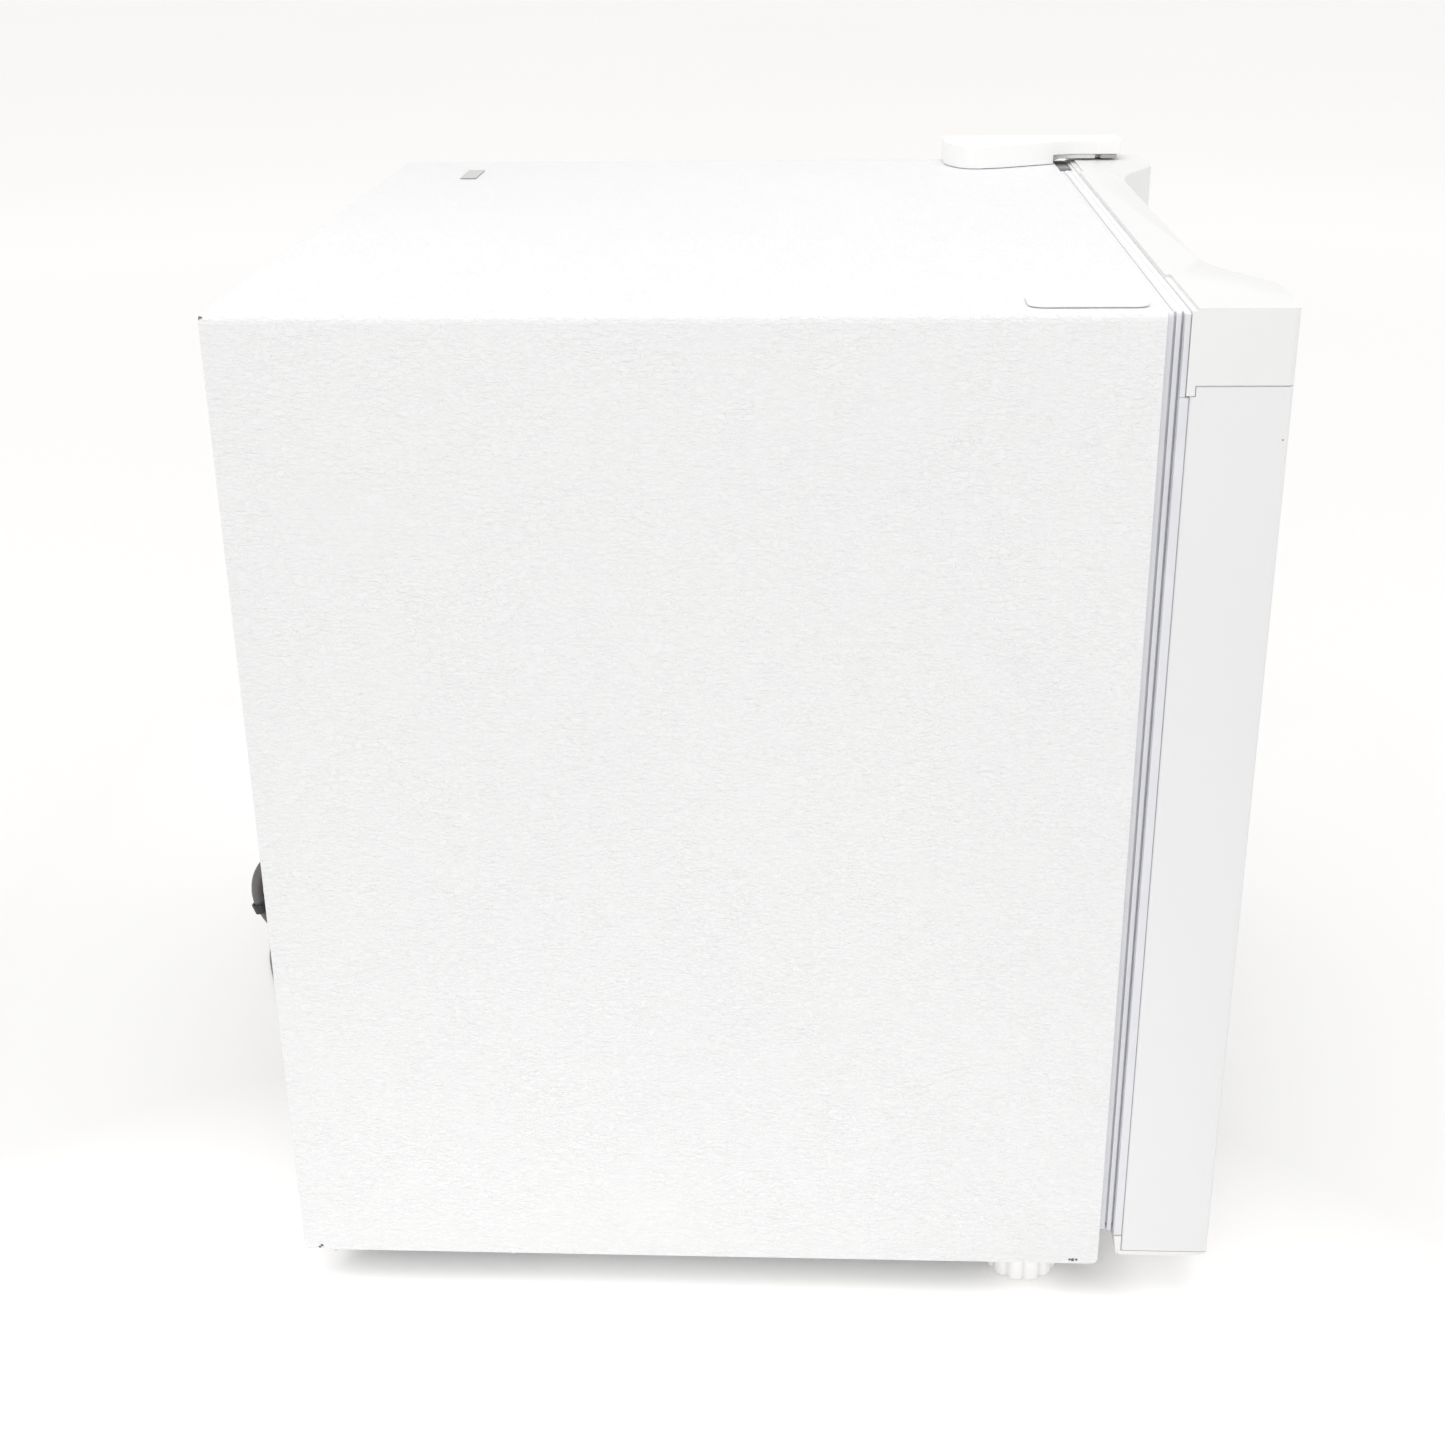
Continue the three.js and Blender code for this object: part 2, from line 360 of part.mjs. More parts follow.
// return flanges behind, and a short one turned in along the top of each side
for (const s of [-1, 1]) {
  const at = (w) => [Math.min(s * (hw - w), s * (hw - 0.5)), Math.max(s * (hw - w), s * (hw - 0.5))];
  skin = join(skin, box(...at(10), SKIN_REAR - 1, SKIN_REAR, zDoorB + 14.4, zSplit - 0.15), box(...at(5), -50, SKIN_REAR - 0.5, zSplit - 1.15, zSplit - 0.15));
}
// the rear strip of the top cap reaches lower than its split line, so the sheet is notched there
const notch = box(-hw - 1, hw + 1, -13.5, 0, zSplit - 4.5, zSplit + 1);
place('door_skin', cut(skin, notch), 'skin');

const capPlan = (inset) => {
  const l = doorFront(inset);
  const scoop = SCOOP.map(([s, y]) => [-hw + s - inset * 0.6 * Math.min(1, (s - 40) / 20), y + inset]);
  const left = [...l, ...scoop];
  return [[-hw + inset, DOOR_REAR - inset], ...left, ...left.map(([x, y]) => [-x, y]).reverse(), [hw - inset, DOOR_REAR - inset]];
};
const GX = 112;   // half width of the finger pocket behind the sheet's upper edge
const pocketZ = zSplit - 34;
let cap = prismZ(capPlan(0), zSplit + 0.15, zDoorT);
cap = join(cap, box(-hw + 0.01, hw - 0.01, -13.2, DOOR_REAR, zSplit - 4.2, zSplit + 2));
// underside hollow that the foam rises into
cap = cut(cap, cut(prismZ(capPlan(2.4), zSplit - 0.5, zDoorT - 2.4), box(-hw, hw, DOOR_REAR - 2.6, 0, 0, 600)));
// finger pocket: rear wall, floor, ends and a front lip under the sheet's upper edge
const pocketOuter = roundRect(-GX - 2, GX + 2, -53.4, GRIP_BACK + 2.4, 5, 3);
const pocketInner = roundRect(-GX, GX, -51.4, GRIP_BACK, 4, 3);
cap = join(cap, prismZ(pocketOuter, pocketZ - 2, zSplit + 0.2),
  prismZ([[-hw + 46, -54.99], [hw - 46, -54.99], [hw - 46, -34], [hw - 99, -31], [-hw + 99, -31], [-hw + 46, -34]], zSplit + 0.15, zSplit + 2.4));
cap = cut(cap, prismZ(pocketInner, pocketZ, zSplit + 40));
cap = cut(cap, cylZ(HINGE_X, HINGE_Y, zSplit - 2, zDoorT + 2, PIN_R + 0.35, 24));
// shallow step in the rear edge at the two ends
for (const s of [-1, 1]) cap = cut(cap, box(Math.min(s * (hw - 72), s * (hw + 1)), Math.max(s * (hw - 72), s * (hw + 1)), DOOR_REAR - 2.5, DOOR_REAR + 1, zDoorT - 1.3, zDoorT + 1));
place('door_top_cap', cap, 'cap');

let base = join(
  prismZ(doorOutline(0, DOOR_REAR), zDoorB, zDoorB + 2.2),
  cut(prismZ(doorOutline(1.4, DOOR_REAR - 1.4), zDoorB + 1, zDoorB + 14), prismZ(doorOutline(3.6, DOOR_REAR - 3.6), zDoorB + 2.4, zDoorB + 20)),
  // sloped foot of the rear edge
  prismX([[-10.9, zDoorB + 0.2], [-8.6, zDoorB + 0.6], [-7.3, zDoorB + 10.2], [-8.4, zDoorB + 10.5], [-10.9, zDoorB + 10.5]], -hw + 0.4, hw - 0.4),
  prismX([[-11.6, zDoorB + 1], [-8.9, zDoorB + 1], [-8.9, zDoorB + 10.5], [-11.6, zDoorB + 10.5]], -hw + 1.6, hw - 1.6),
  cylZ(HINGE_X, HINGE_Y, zDoorB + 1, zDoorB + 16, 6.8, 24));
base = cut(base, box(182, hw + 1, DOOR_REAR + 0.4, 5, zDoorB - 1, zDoorB + 20));
base = cut(base, cylZ(HINGE_X, HINGE_Y, zDoorB - 3, zDoorB + 20, PIN_R + 0.35, 24));
place('door_bottom_cap', base, 'cap');

let doorFoam = cut(
  join(prismZ(doorOutline(1.4, -12.5), zDoorB + 2.6, zDoorT - 2.8), box(-hw + 10.4, hw - 10.4, -13, -11.2, zDoorB + 15, zSplit - 5)),
  // clear of the two caps
  cut(prismZ(doorOutline(-2, 5), zDoorB - 2, zDoorB + 14.4), prismZ(doorOutline(4, DOOR_REAR - 4), zDoorB + 2.8, zDoorB + 30)),
  cut(prismZ(doorOutline(-2, 5), zSplit - 0.4, zDoorT + 2), prismZ(capPlan(2.8), zSplit - 2, zDoorT - 2.8)),
  prismZ(roundRect(-GX - 2.4, GX + 2.4, -60, GRIP_BACK + 2.8, 3, 3), pocketZ - 2.4, zDoorT + 2),
  box(-hw, hw, -70, GRIP_BACK - 0.1, zSplit - 0.4, zSplit + 2.9),
  box(-hw, hw, -13.5, 5, zSplit - 5, zDoorT + 2),
  box(-hw, -hw + 5.4, -50.4, 5, zSplit - 1.5, zSplit + 0.2), box(hw - 5.4, hw, -50.4, 5, zSplit - 1.5, zSplit + 0.2),
  cylZ(HINGE_X, HINGE_Y, zt - 16, zt + 5, 4.4, 20), cylZ(HINGE_X, HINGE_Y, zDoorB, zDoorB + 22, 7.2, 20));
place('door_foam', doorFoam, 'foam');

// inner panel: flat rim behind the seal and a raised frame that holds the racks
const px = 186, pz0 = 78, pz1 = 440;
let panel = join(
  prismY(roundRect(-hw + 0.6, hw - 0.6, zDoorB + 15, zSplit - 4.9, 2), -10.9, -9.6),
  cut(prismY(roundRect(-px, px, pz0, pz1, 12, 4), -10.9, 6), prismY(roundRect(-px + 14, px - 14, pz0 + 14, pz1 - 14, 8, 4), -12, 8)));
panel = cut(panel, cut(prismY(roundRect(-px + 2, px - 2, pz0 + 2, pz1 - 2, 10, 4), DOOR_REAR - 5, 4), prismY(roundRect(-px + 12, px - 12, pz0 + 12, pz1 - 12, 8, 4), DOOR_REAR - 6, 8)));
place('door_liner', panel, 'liner');

// seal: a bellows section with two grooves, run round the door
const sx0 = -226.5, sx1 = 224, sz0 = zb + 16.8, sz1 = zt - 0.6;
const sealRing = (o, i, y0, y1) => cut(prismY(roundRect(sx0 + o, sx1 - o, sz0 + o, sz1 - o, Math.max(0.6, 2 - o * 0.5), 3), y0, y1), prismY(roundRect(sx0 + i, sx1 - i, sz0 + i, sz1 - i, 3, 2), y0 - 1, y1 + 1));
place('door_gasket', cut(join(
  sealRing(0, 20, -9.3, -7.1),
  sealRing(3.4, 17, -7.2, -5.8),
  sealRing(0, 19, -5.9, -4.1),
  sealRing(3.4, 17, -4.2, -2.7),
  sealRing(0.4, 19, -2.8, -0.4)),
  // relieved under the upper hinge
  box(177, hw, -8.2, 1, zt - 6, zt + 1)), 'gasket');

const rack = (y1, z0, z1, x, step) => {
  let r = cut(prismX([[DOOR_REAR + 0.6, z0], [y1 - 4, z0], [y1, z0 + 4], [y1, z1 - step], [y1 - 6, z1 - step], [DOOR_REAR + 12, z1], [DOOR_REAR + 0.6, z1]], -x, x),
    box(-x + 2, x - 2, DOOR_REAR + 2.6, y1 - 2, z0 + 2.4, z1 + 5));
  return r;
};
place('door_rack_upper', rack(60, 262, 318, px - 14.4, 14), 'clear_plastic');
place('door_rack_lower', rack(80, 101, 172, px - 14.4, 10), 'clear_plastic');
place('bottle_rail', tube([[-px + 17, -2, 212], [-px + 18, 14, 212], [-px + 24, 60, 212], [-px + 34, 74, 212], [-120, 77, 212], [0, 77, 212], [120, 77, 212], [px - 34, 74, 212], [px - 24, 60, 212], [px - 18, 14, 212], [px - 17, -2, 212]], 2.2, 8, 34), 'cap');

// ---------------------------------------------------------------- ice-box flap, tray, shelf, thermostat knob
let flap = join(
  box(e.x0 - 1, e.x1 + 1, fy0 - 7, fy0 - 0.6, fz0 + 3.4, fz1 - 2),
  box(e.x0 + 100, e.x1 - 100, fy0 - 13, fy0 - 6.5, fz1 - 12, fz1 - 8),
  cylDir([e.x0 - 4.6, ...flapAxis], [e.x1 + 4.6, ...flapAxis], 2.0, 16));
flap = cut(flap, box(e.x0 + 6, e.x1 - 6, fy0 - 4.4, fy0 + 1, fz0 + 12, fz1 - 8));
// clearance for the bottom edge as it turns over the frame
flap = cut(flap, prismX([[fy0 - 2.4, fz0 + 2], [fy0 + 1, fz0 + 2], [fy0 + 1, fz0 + 9.6]], e.x0 - 2, e.x1 + 2));
place('freezer_flap', flap, 'clear_plastic');

let tray = cut(prismX([[e.y0 - 2, TRAY_Z], [e.y1 - 14, TRAY_Z], [e.y1 - 12, TRAY_Z + 2], [e.y1 - 12, TRAY_Z + 17], [e.y0 - 6, TRAY_Z + 17], [e.y0 - 6, TRAY_Z + 3]], e.x0 + 3.6, e.x1 - 3.6),
  box(e.x0 + 5.6, e.x1 - 5.6, e.y0 - 3.6, e.y1 - 14, TRAY_Z + 2, TRAY_Z + 30));
place('drip_tray', tray, 'clear_plastic');

const kx = ix - 2.2;
place('shelf_glass', box(-kx + 3, kx - 3, 95.4, 342, SHELF_Z + 1, SHELF_Z + 5), 'glass');
place('shelf_front_trim', cut(prismX([[86, SHELF_Z - 5], [92, SHELF_Z - 5], [92, SHELF_Z - 0.2], [104, SHELF_Z - 0.2], [104, SHELF_Z + 0.7], [95, SHELF_Z + 0.7], [95, SHELF_Z + 5.3], [104, SHELF_Z + 5.3], [104, SHELF_Z + 6], [90, SHELF_Z + 6], [86, SHELF_Z + 3]], -kx + 8, kx - 8)), 'liner');

const knobY = KNOB.y - 0.5;
const grip = [];
for (let k = 0; k < 48; k++) { const a = k / 48 * 2 * Math.PI; grip.push([KNOB.x + (15.5 - (k % 4 === 0 ? 0.7 : 0)) * Math.cos(a), KNOB.z + (15.5 - (k % 4 === 0 ? 0.7 : 0)) * Math.sin(a)]); }
place('thermostat_knob', join(
  latheDir([[0, 0], [19, 0], [19, 1.6], [17.4, 3], [0, 3]], new THREE.Vector3(KNOB.x, knobY, KNOB.z), new THREE.Vector3(0, -1, 0), 32),
  prismY(grip, knobY - 11, knobY - 2.6),
  box(KNOB.x - 2.2, KNOB.x + 2.2, knobY - 15, knobY - 10.6, KNOB.z - 14, KNOB.z + 14.6),
  cylDir([KNOB.x, knobY - 1, KNOB.z], [KNOB.x, KNOB.y + 30, KNOB.z], 3.0, 16)), 'cap');

// ---------------------------------------------------------------- mains lead
const dip = 40 * Math.PI / 180;
const dir = new THREE.Vector3(0, Math.cos(dip), -Math.sin(dip));
const seat = new THREE.Vector3(CORD_X, D - 1.0, CORD_Z);
let relief = join(
  latheDir([[0, 0], [9.6, 0], [9.6, 1.8], [8.2, 2.8], [0, 2.8]], new THREE.Vector3(CORD_X, D - 1.0, CORD_Z), new THREE.Vector3(0, 1, 0), 24),
  latheDir([[0, -2], [6.2, -2], [6, 3], [4.3, 22], [3.9, 23.2], [0, 23.2]], seat.clone().addScaledVector(dir, 1.5), dir, 20));
relief = cut(relief, box(CORD_X - 30, CORD_X + 30, D - 30, D - 1.0, CORD_Z - 30, CORD_Z + 30));
place('cord_strain_relief', relief, 'black_plastic');

const out = (s) => [CORD_X, D - 1.0 + dir.y * s, CORD_Z + dir.z * s];
const bend = 24, by = D + 28.3 - bend, bz = zb + 160.2;
const arc = (deg) => { const a = deg * Math.PI / 180; return [CORD_X, by + bend * Math.sin(a), bz + bend * Math.cos(a)]; };
const floorZ = CORD_R + 0.1;
const inY = COIL_Y + COIL_R + 6.15;   // the lead joins the coil's outer turn on the far side
const outY = COIL_Y - COIL_R - 6.15;  // and leaves it for the plug on the side next to the cabinet
const lead = [out(25.1), arc(42), arc(56), arc(72), arc(90), arc(106), arc(120),
  [CORD_X, D + 19.6, bz - 22], [CORD_X, D + 16.4, bz - 36], [CORD_X + 0.5, D + 15.2, bz - 52], [CORD_X + 1, D + 15, bz - 84], [CORD_X + 1, D + 15, 62], [CORD_X + 1.4, D + 15.2, 40],
  [CORD_X + 3.6, D + 15.8, 20.5], [CORD_X + 10.8, D + 17, 9.2], [CORD_X + 22, D + 19, 4.1], [CORD_X + 36, D + 22, floorZ], [CORD_X + 62, D + 29.5, floorZ],
  [CORD_X + 104, D + 43.5, floorZ], [CORD_X + 148, D + 61, floorZ], [CORD_X + 192, D + 80, floorZ], [COIL_X - 68, inY - 7.5, floorZ + 0.2], [COIL_X - 44, inY - 1.6, floorZ + 0.8], [COIL_X - 24.2, inY, floorZ + 1.3]];
place('power_cord', tube(lead, CORD_R, 8, 66), 'cord');
place('cord_coil', new THREE.LatheGeometry(
  [[COIL_R - 9, 1.3], [COIL_R - 9.3, 4.3], [COIL_R - 9.3, 10.3], [COIL_R - 9, 13.3], [COIL_R - 6, 13.6], [COIL_R + 6, 13.6], [COIL_R + 9, 13.3], [COIL_R + 9.3, 10.3], [COIL_R + 9.3, 4.3], [COIL_R + 9, 1.3], [COIL_R - 9, 1.3]].reverse().map(p => new THREE.Vector2(p[0], p[1])), 40)
  .rotateX(Math.PI / 2).translate(COIL_X, COIL_Y, 0), 'cord');
place('coil_tie', cut(box(COIL_X + COIL_R - 11, COIL_X + COIL_R + 11.2, COIL_Y - 4, COIL_Y + 4, 0.05, 15), box(COIL_X + COIL_R - 9.9, COIL_X + COIL_R + 9.9, COIL_Y - 5, COIL_Y + 5, 1.0, 13.9)), 'black_plastic');
const tieAt = new THREE.Vector3(...arc(110)), tieDir = new THREE.Vector3(0, Math.cos(110 * Math.PI / 180), -Math.sin(110 * Math.PI / 180));
const tieOut = new THREE.Vector3(0, Math.sin(110 * Math.PI / 180), Math.cos(110 * Math.PI / 180));
let band = cut(latheDir([[0, -2.4], [4.5, -2.4], [4.5, 2.4], [0, 2.4]], tieAt, tieDir, 20), latheDir([[0, -6], [3.6, -6], [3.6, 6], [0, 6]], tieAt, tieDir, 20));
const head = new THREE.BoxGeometry(5, 4.6, 3.4);
head.applyQuaternion(new THREE.Quaternion().setFromRotationMatrix(new THREE.Matrix4().makeBasis(new THREE.Vector3(1, 0, 0), tieDir, tieOut))).translate(tieAt.x + 5.4, tieAt.y, tieAt.z);
place('cord_band', join(band, toManifold(head)), 'black_plastic');

// moulded plug beside the coil, its blades away from it
const plugZ = 11.2, p0 = COIL_X - 25.2;
let plug = latheDir([[0, 0], [3.6, 0], [3.8, 1], [5.6, 17], [6.4, 19], [0, 19]], new THREE.Vector3(p0, outY, plugZ), new THREE.Vector3(-1, 0, 0), 20);
plug = join(plug,
  prismX(roundRect(outY - 11.5, outY + 11.5, plugZ - 10.9, plugZ + 10.9, 6, 4), p0 - 44, p0 - 18),
  prismX(roundRect(outY - 13, outY + 13, plugZ - 11.1, plugZ + 11.1, 7, 4), p0 - 47.5, p0 - 43.5),
  box(p0 - 64.5, p0 - 47, outY - 7.1, outY - 5.6, plugZ - 0.5, plugZ + 5.8),
  box(p0 - 64.5, p0 - 47, outY + 5.6, outY + 7.1, plugZ - 0.5, plugZ + 5.8),
  cylDir([p0 - 47, outY, plugZ - 5.6], [p0 - 67, outY, plugZ - 5.6], 2.4, 14));
place('plug', plug, 'cord');

export default fridge;
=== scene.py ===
"""Compact cube refrigerator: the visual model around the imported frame. Metres, +Z up, the door faces -Y."""
import json
import math

import bmesh
import bpy
import numpy as np
from mathutils import Matrix, Vector


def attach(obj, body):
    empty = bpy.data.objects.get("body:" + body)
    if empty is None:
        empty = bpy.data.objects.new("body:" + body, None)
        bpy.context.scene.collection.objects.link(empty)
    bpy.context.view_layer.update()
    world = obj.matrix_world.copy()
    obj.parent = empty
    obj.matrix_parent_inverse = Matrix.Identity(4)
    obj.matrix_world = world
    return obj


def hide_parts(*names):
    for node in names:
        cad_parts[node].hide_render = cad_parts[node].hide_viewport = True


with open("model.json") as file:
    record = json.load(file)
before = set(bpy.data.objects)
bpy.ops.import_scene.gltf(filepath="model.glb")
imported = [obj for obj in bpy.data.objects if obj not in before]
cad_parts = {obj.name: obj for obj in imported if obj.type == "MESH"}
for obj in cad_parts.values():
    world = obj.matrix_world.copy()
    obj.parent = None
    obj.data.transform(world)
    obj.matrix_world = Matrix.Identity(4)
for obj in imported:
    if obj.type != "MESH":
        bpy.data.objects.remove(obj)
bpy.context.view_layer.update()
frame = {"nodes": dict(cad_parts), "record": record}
NODES = frame["nodes"]
BODY = {n: b for b, members in frame["record"]["behaviour"]["bodies"].items() for n in members}
SLOT = {s["node"]: s["material_slot"] for s in frame["record"]["subparts"]}
scene = bpy.context.scene
MM = 0.001

# ------------------------------------------------------------------ places, in millimetres, as in the CAD source
W, D, H, FOOT = 460.0, 396.0, 470.7, 21.0
YS = -170.5                      # the cabinet's front rim
HW = W / 2
ZB, ZT = FOOT, FOOT + H
SPLIT = ZT - 30.2
DOOR_REAR, SKIN_REAR, DOOR_FRONT, DOOR_EDGE, GRIP_BACK = -9.7, -11.2, -55.0, -53.0, -30.0
CORD_R, CORD_X, CORD_Z = 3.0, -150.0, 217.0
COIL_X, COIL_Y, COIL_R = 150.0, D + 61.5, 36.0


# ------------------------------------------------------------------ camera
def add_camera():
    data = bpy.data.cameras.new("camera")
    cam = bpy.data.objects.new("camera", data)
    scene.collection.objects.link(cam)
    right = Vector((0.0457629, -0.9988751, -0.012425))
    down = Vector((-0.3939215, -0.0066143, -0.9191203))
    forward = Vector((0.9180041, 0.0469561, -0.393781))
    m = Matrix((right, -down, -forward)).transposed().to_4x4()
    m.translation = Vector((-1.0438, -0.0303, 0.6600))
    cam.matrix_world = m
    data.sensor_width = 36.0
    data.lens = 49.985
    data.clip_start, data.clip_end = 0.02, 60
    data.dof.use_dof = False
    scene.camera = cam


add_camera()


# ------------------------------------------------------------------ material helpers
class Nodes:
    """A short hand for building one material's node tree."""

    def __init__(self, name):
        self.mat = bpy.data.materials.new(name)
        self.mat.use_nodes = True
        self.t = self.mat.node_tree
        self.bsdf = self.t.nodes["Principled BSDF"]
        self.co = self.new("ShaderNodeTexCoord").outputs["Object"]

    def new(self, kind, **values):
        n = self.t.nodes.new(kind)
        for k, v in values.items():
            if hasattr(n, k) and k not in n.inputs:
                setattr(n, k, v)
            else:
                n.inputs[k.replace("_", " ")].default_value = v
        return n

    def link(self, a, b):
        self.t.links.new(a, b)

    def mapped(self, scale):
        m = self.new("ShaderNodeMapping")
        m.inputs["Scale"].default_value = scale
        self.link(self.co, m.inputs["Vector"])
        return m.outputs["Vector"]

    def noise(self, scale, detail=2.0, rough=0.5, stretch=None, distortion=0.0):
        n = self.new("ShaderNodeTexNoise")
        n.inputs["Scale"].default_value = scale
        n.inputs["Detail"].default_value = detail
        n.inputs["Roughness"].default_value = rough
        n.inputs["Distortion"].default_value = distortion
        self.link(self.mapped(stretch) if stretch else self.co, n.inputs["Vector"])
        return n.outputs["Fac"]

    def voronoi(self, scale, feature="F1", stretch=None, output="Distance"):
        n = self.new("ShaderNodeTexVoronoi")
        n.feature = feature
        n.inputs["Scale"].default_value = scale
        self.link(self.mapped(stretch) if stretch else self.co, n.inputs["Vector"])
        return n.outputs[output]

    def remap(self, x, a, b, c, d):
        n = self.new("ShaderNodeMapRange")
        n.inputs["From Min"].default_value, n.inputs["From Max"].default_value = a, b
        n.inputs["To Min"].default_value, n.inputs["To Max"].default_value = c, d
        self.link(x, n.inputs["Value"])
        return n.outputs["Result"]

    def math(self, op, a, b):
        n = self.new("ShaderNodeMath")
        n.operation = op
        for i, v in enumerate((a, b)):
            if isinstance(v, (int, float)):
                n.inputs[i].default_value = v
            else:
                self.link(v, n.inputs[i])
        return n.outputs[0]

    def mix(self, fac, a, b):
        n = self.new("ShaderNodeMix")
        n.data_type = "RGBA"
        self.link(fac, n.inputs["Factor"])
        for key, v in (("A", a), ("B", b)):
            socket = [s for s in n.inputs if s.name == key and s.type == "RGBA"][0]
            if isinstance(v, tuple):
                socket.default_value = (*v, 1)
            else:
                self.link(v, socket)
        return [s for s in n.outputs if s.type == "RGBA"][0]

    def bump(self, height, strength, distance, after=None):
        n = self.new("ShaderNodeBump")
        n.inputs["Strength"].default_value = strength
        n.inputs["Distance"].default_value = distance
        self.link(height, n.inputs["Height"])
        if after is not None:
            self.link(after, n.inputs["Normal"])
        return n.outputs["Normal"]

    def base(self, colour=None, rough=None, metal=0.0, **others):
        for key, v in (("Base Color", colour), ("Roughness", rough)):
            if v is None:
                continue
            if isinstance(v, tuple):
                self.bsdf.inputs[key].default_value = (*v, 1)
            elif isinstance(v, (int, float)):
                self.bsdf.inputs[key].default_value = v
            else:
                self.link(v, self.bsdf.inputs[key])
        self.bsdf.inputs["Metallic"].default_value = metal
        for k, v in others.items():
            self.bsdf.inputs[k.replace("_", " ")].default_value = v

    def normal(self, n):
        self.link(n, self.bsdf.inputs["Normal"])


MATS = {}


def chips_at(n, places):
    """Mask of small irregular paint chips: (x, y, z, radius) in millimetres."""
    ragged = n.noise(900.0, 2.0, 0.6)
    mask = None
    for x, y, z, r in places:
        d = n.new("ShaderNodeVectorMath")
        d.operation = "DISTANCE"
        n.link(n.co, d.inputs[0])
        d.inputs[1].default_value = (x * MM, y * MM, z * MM)
        edge = n.math("ADD", d.outputs["Value"], n.math("MULTIPLY", n.math("SUBTRACT", ragged, 0.5), 0.9 * r * MM))
        one = n.remap(edge, 0.8 * r * MM, 1.05 * r * MM, 1.0, 0.0)
        mask = one if mask is None else n.math("MAXIMUM", mask, one)
    return mask


def shell_paint():
    """White paint over sheet embossed with short wavy creases, mostly level, with painted shade along the creases,
    and a few chips at the corners.
    """
    n = Nodes("shell_paint")
    wave = n.noise(1.0, 1.2, 0.5, (640, 270, 700), 0.7)
    crease = n.remap(n.math("ABSOLUTE", n.math("SUBTRACT", wave, 0.5), 0.0), 0.0, 0.1, 0.0, 1.0)
    height = n.math("MULTIPLY", crease, n.remap(n.noise(45.0, 2.0, 0.5), 0.3, 0.7, 0.75, 1.0))
    cloud = n.noise(5.0, 3.0, 0.5)
    level = n.remap(cloud, 0.3, 0.7, 0.0, 1.0)
    tone = n.mix(level, (0.810, 0.813, 0.821), (0.824, 0.826, 0.832))
    # Painted shade: the crease lines are painted a little darker than the flats between them.
    crease_shade = n.mix(level, (0.790, 0.793, 0.802), (0.803, 0.806, 0.813))
    tone = n.mix(n.math("SUBTRACT", 1.0, height), tone, crease_shade)
    chips = chips_at(n, [(-230, 224.9, 491.0, 1.7), (-230, -156.9, 23.3, 0.7), (-230, -158.3, 23.2, 0.9), (-230, -160.2, 23.3, 0.7), (-230, 216.6, 23.4, 0.8), (-230, 217.6, 22.4, 0.7),
                         (230, 225.0, 491.2, 1.2), (230, -168.9, 22.6, 0.9)])
    tone = n.mix(n.math("MULTIPLY", chips, 0.93), tone, (0.07, 0.066, 0.062))
    n.base(tone, n.remap(height, 0.0, 1.0, 0.46, 0.34), Specular_IOR_Level=0.5)
    n.normal(n.bump(n.math("SUBTRACT", height, n.math("MULTIPLY", chips, 2.0)), 1.0, 0.00014))
    return n.mat


def door_paint():
    """Smooth semi-gloss white paint with a trace of orange peel."""
    n = Nodes("door_paint")
    peel = n.noise(90.0, 1.0, 0.5)
    cloud = n.noise(4.0, 3.0, 0.5)
    tone = n.mix(n.remap(cloud, 0.3, 0.7, 0.0, 1.0), (0.756, 0.760, 0.773), (0.772, 0.775, 0.784))
    tone = n.mix(chips_at(n, [(-230, -221.0, 439.0, 0.45)]), tone, (0.3, 0.29, 0.28))
    n.base(tone, n.remap(cloud, 0.3, 0.7, 0.28, 0.33), Coat_Weight=0.15, Coat_Roughness=0.2)
    n.normal(n.bump(peel, 0.02, 0.0001))
    return n.mat


def white_plastic(name="white_plastic", a=(0.778, 0.779, 0.777), b=(0.795, 0.796, 0.795), rough=(0.32, 0.44), grain=0.1):
    n = Nodes(name)
    fine = n.noise(1300.0, 3.0, 0.6)
    cloud = n.noise(14.0, 4.0, 0.55)
    n.base(n.mix(n.remap(cloud, 0.3, 0.7, 0.0, 1.0), a, b), n.remap(n.math("ADD", n.math("MULTIPLY", fine, 0.6), n.math("MULTIPLY", cloud, 0.4)), 0.3, 0.7, *rough), Subsurface_Weight=0.0)
    n.normal(n.bump(fine, grain, 0.00012))
    return n.mat


def gasket_rubber():
    n = Nodes("gasket_rubber")
    fine = n.noise(900.0, 3.0, 0.6)
    dust = n.noise(60.0, 4.0, 0.6)
    xyz = n.new("ShaderNodeSeparateXYZ")
    n.link(n.co, xyz.inputs[0])
    tone = n.mix(n.remap(dust, 0.35, 0.7, 0.0, 1.0), (0.70, 0.708, 0.745), (0.735, 0.743, 0.772))
    # Painted light: the top run of the seal, within about a millimetre of the cabinet top, is painted lighter for
    # the top light falling on it.
    tone = n.mix(n.remap(xyz.outputs["Z"], (ZT - 1.3) * MM, (ZT - 0.75) * MM, 0.0, 1.0), tone, (0.83, 0.83, 0.84))
    n.base(tone, n.remap(fine, 0.3, 0.7, 0.5, 0.66), Sheen_Weight=0.1)
    n.normal(n.bump(fine, 0.12, 0.0001))
    return n.mat


def galvanised():
    """Hot-dip zinc with its leafy spangle."""
    n = Nodes("galvanised_steel")
    cell = n.voronoi(95.0, output="Color")
    grey = n.new("ShaderNodeRGBToBW")
    n.link(cell, grey.inputs[0])
    scratch = n.noise(1.0, 4.0, 0.6, (60, 60, 900))
    tone = n.mix(grey.outputs[0], (0.50, 0.52, 0.535), (0.66, 0.675, 0.69))
    n.base(tone, n.remap(n.math("ADD", n.math("MULTIPLY", grey.outputs[0], 0.5), n.math("MULTIPLY", scratch, 0.5)), 0.2, 0.8, 0.3, 0.5), metal=0.9)
    n.normal(n.bump(scratch, 0.05, 0.0002))
    return n.mat


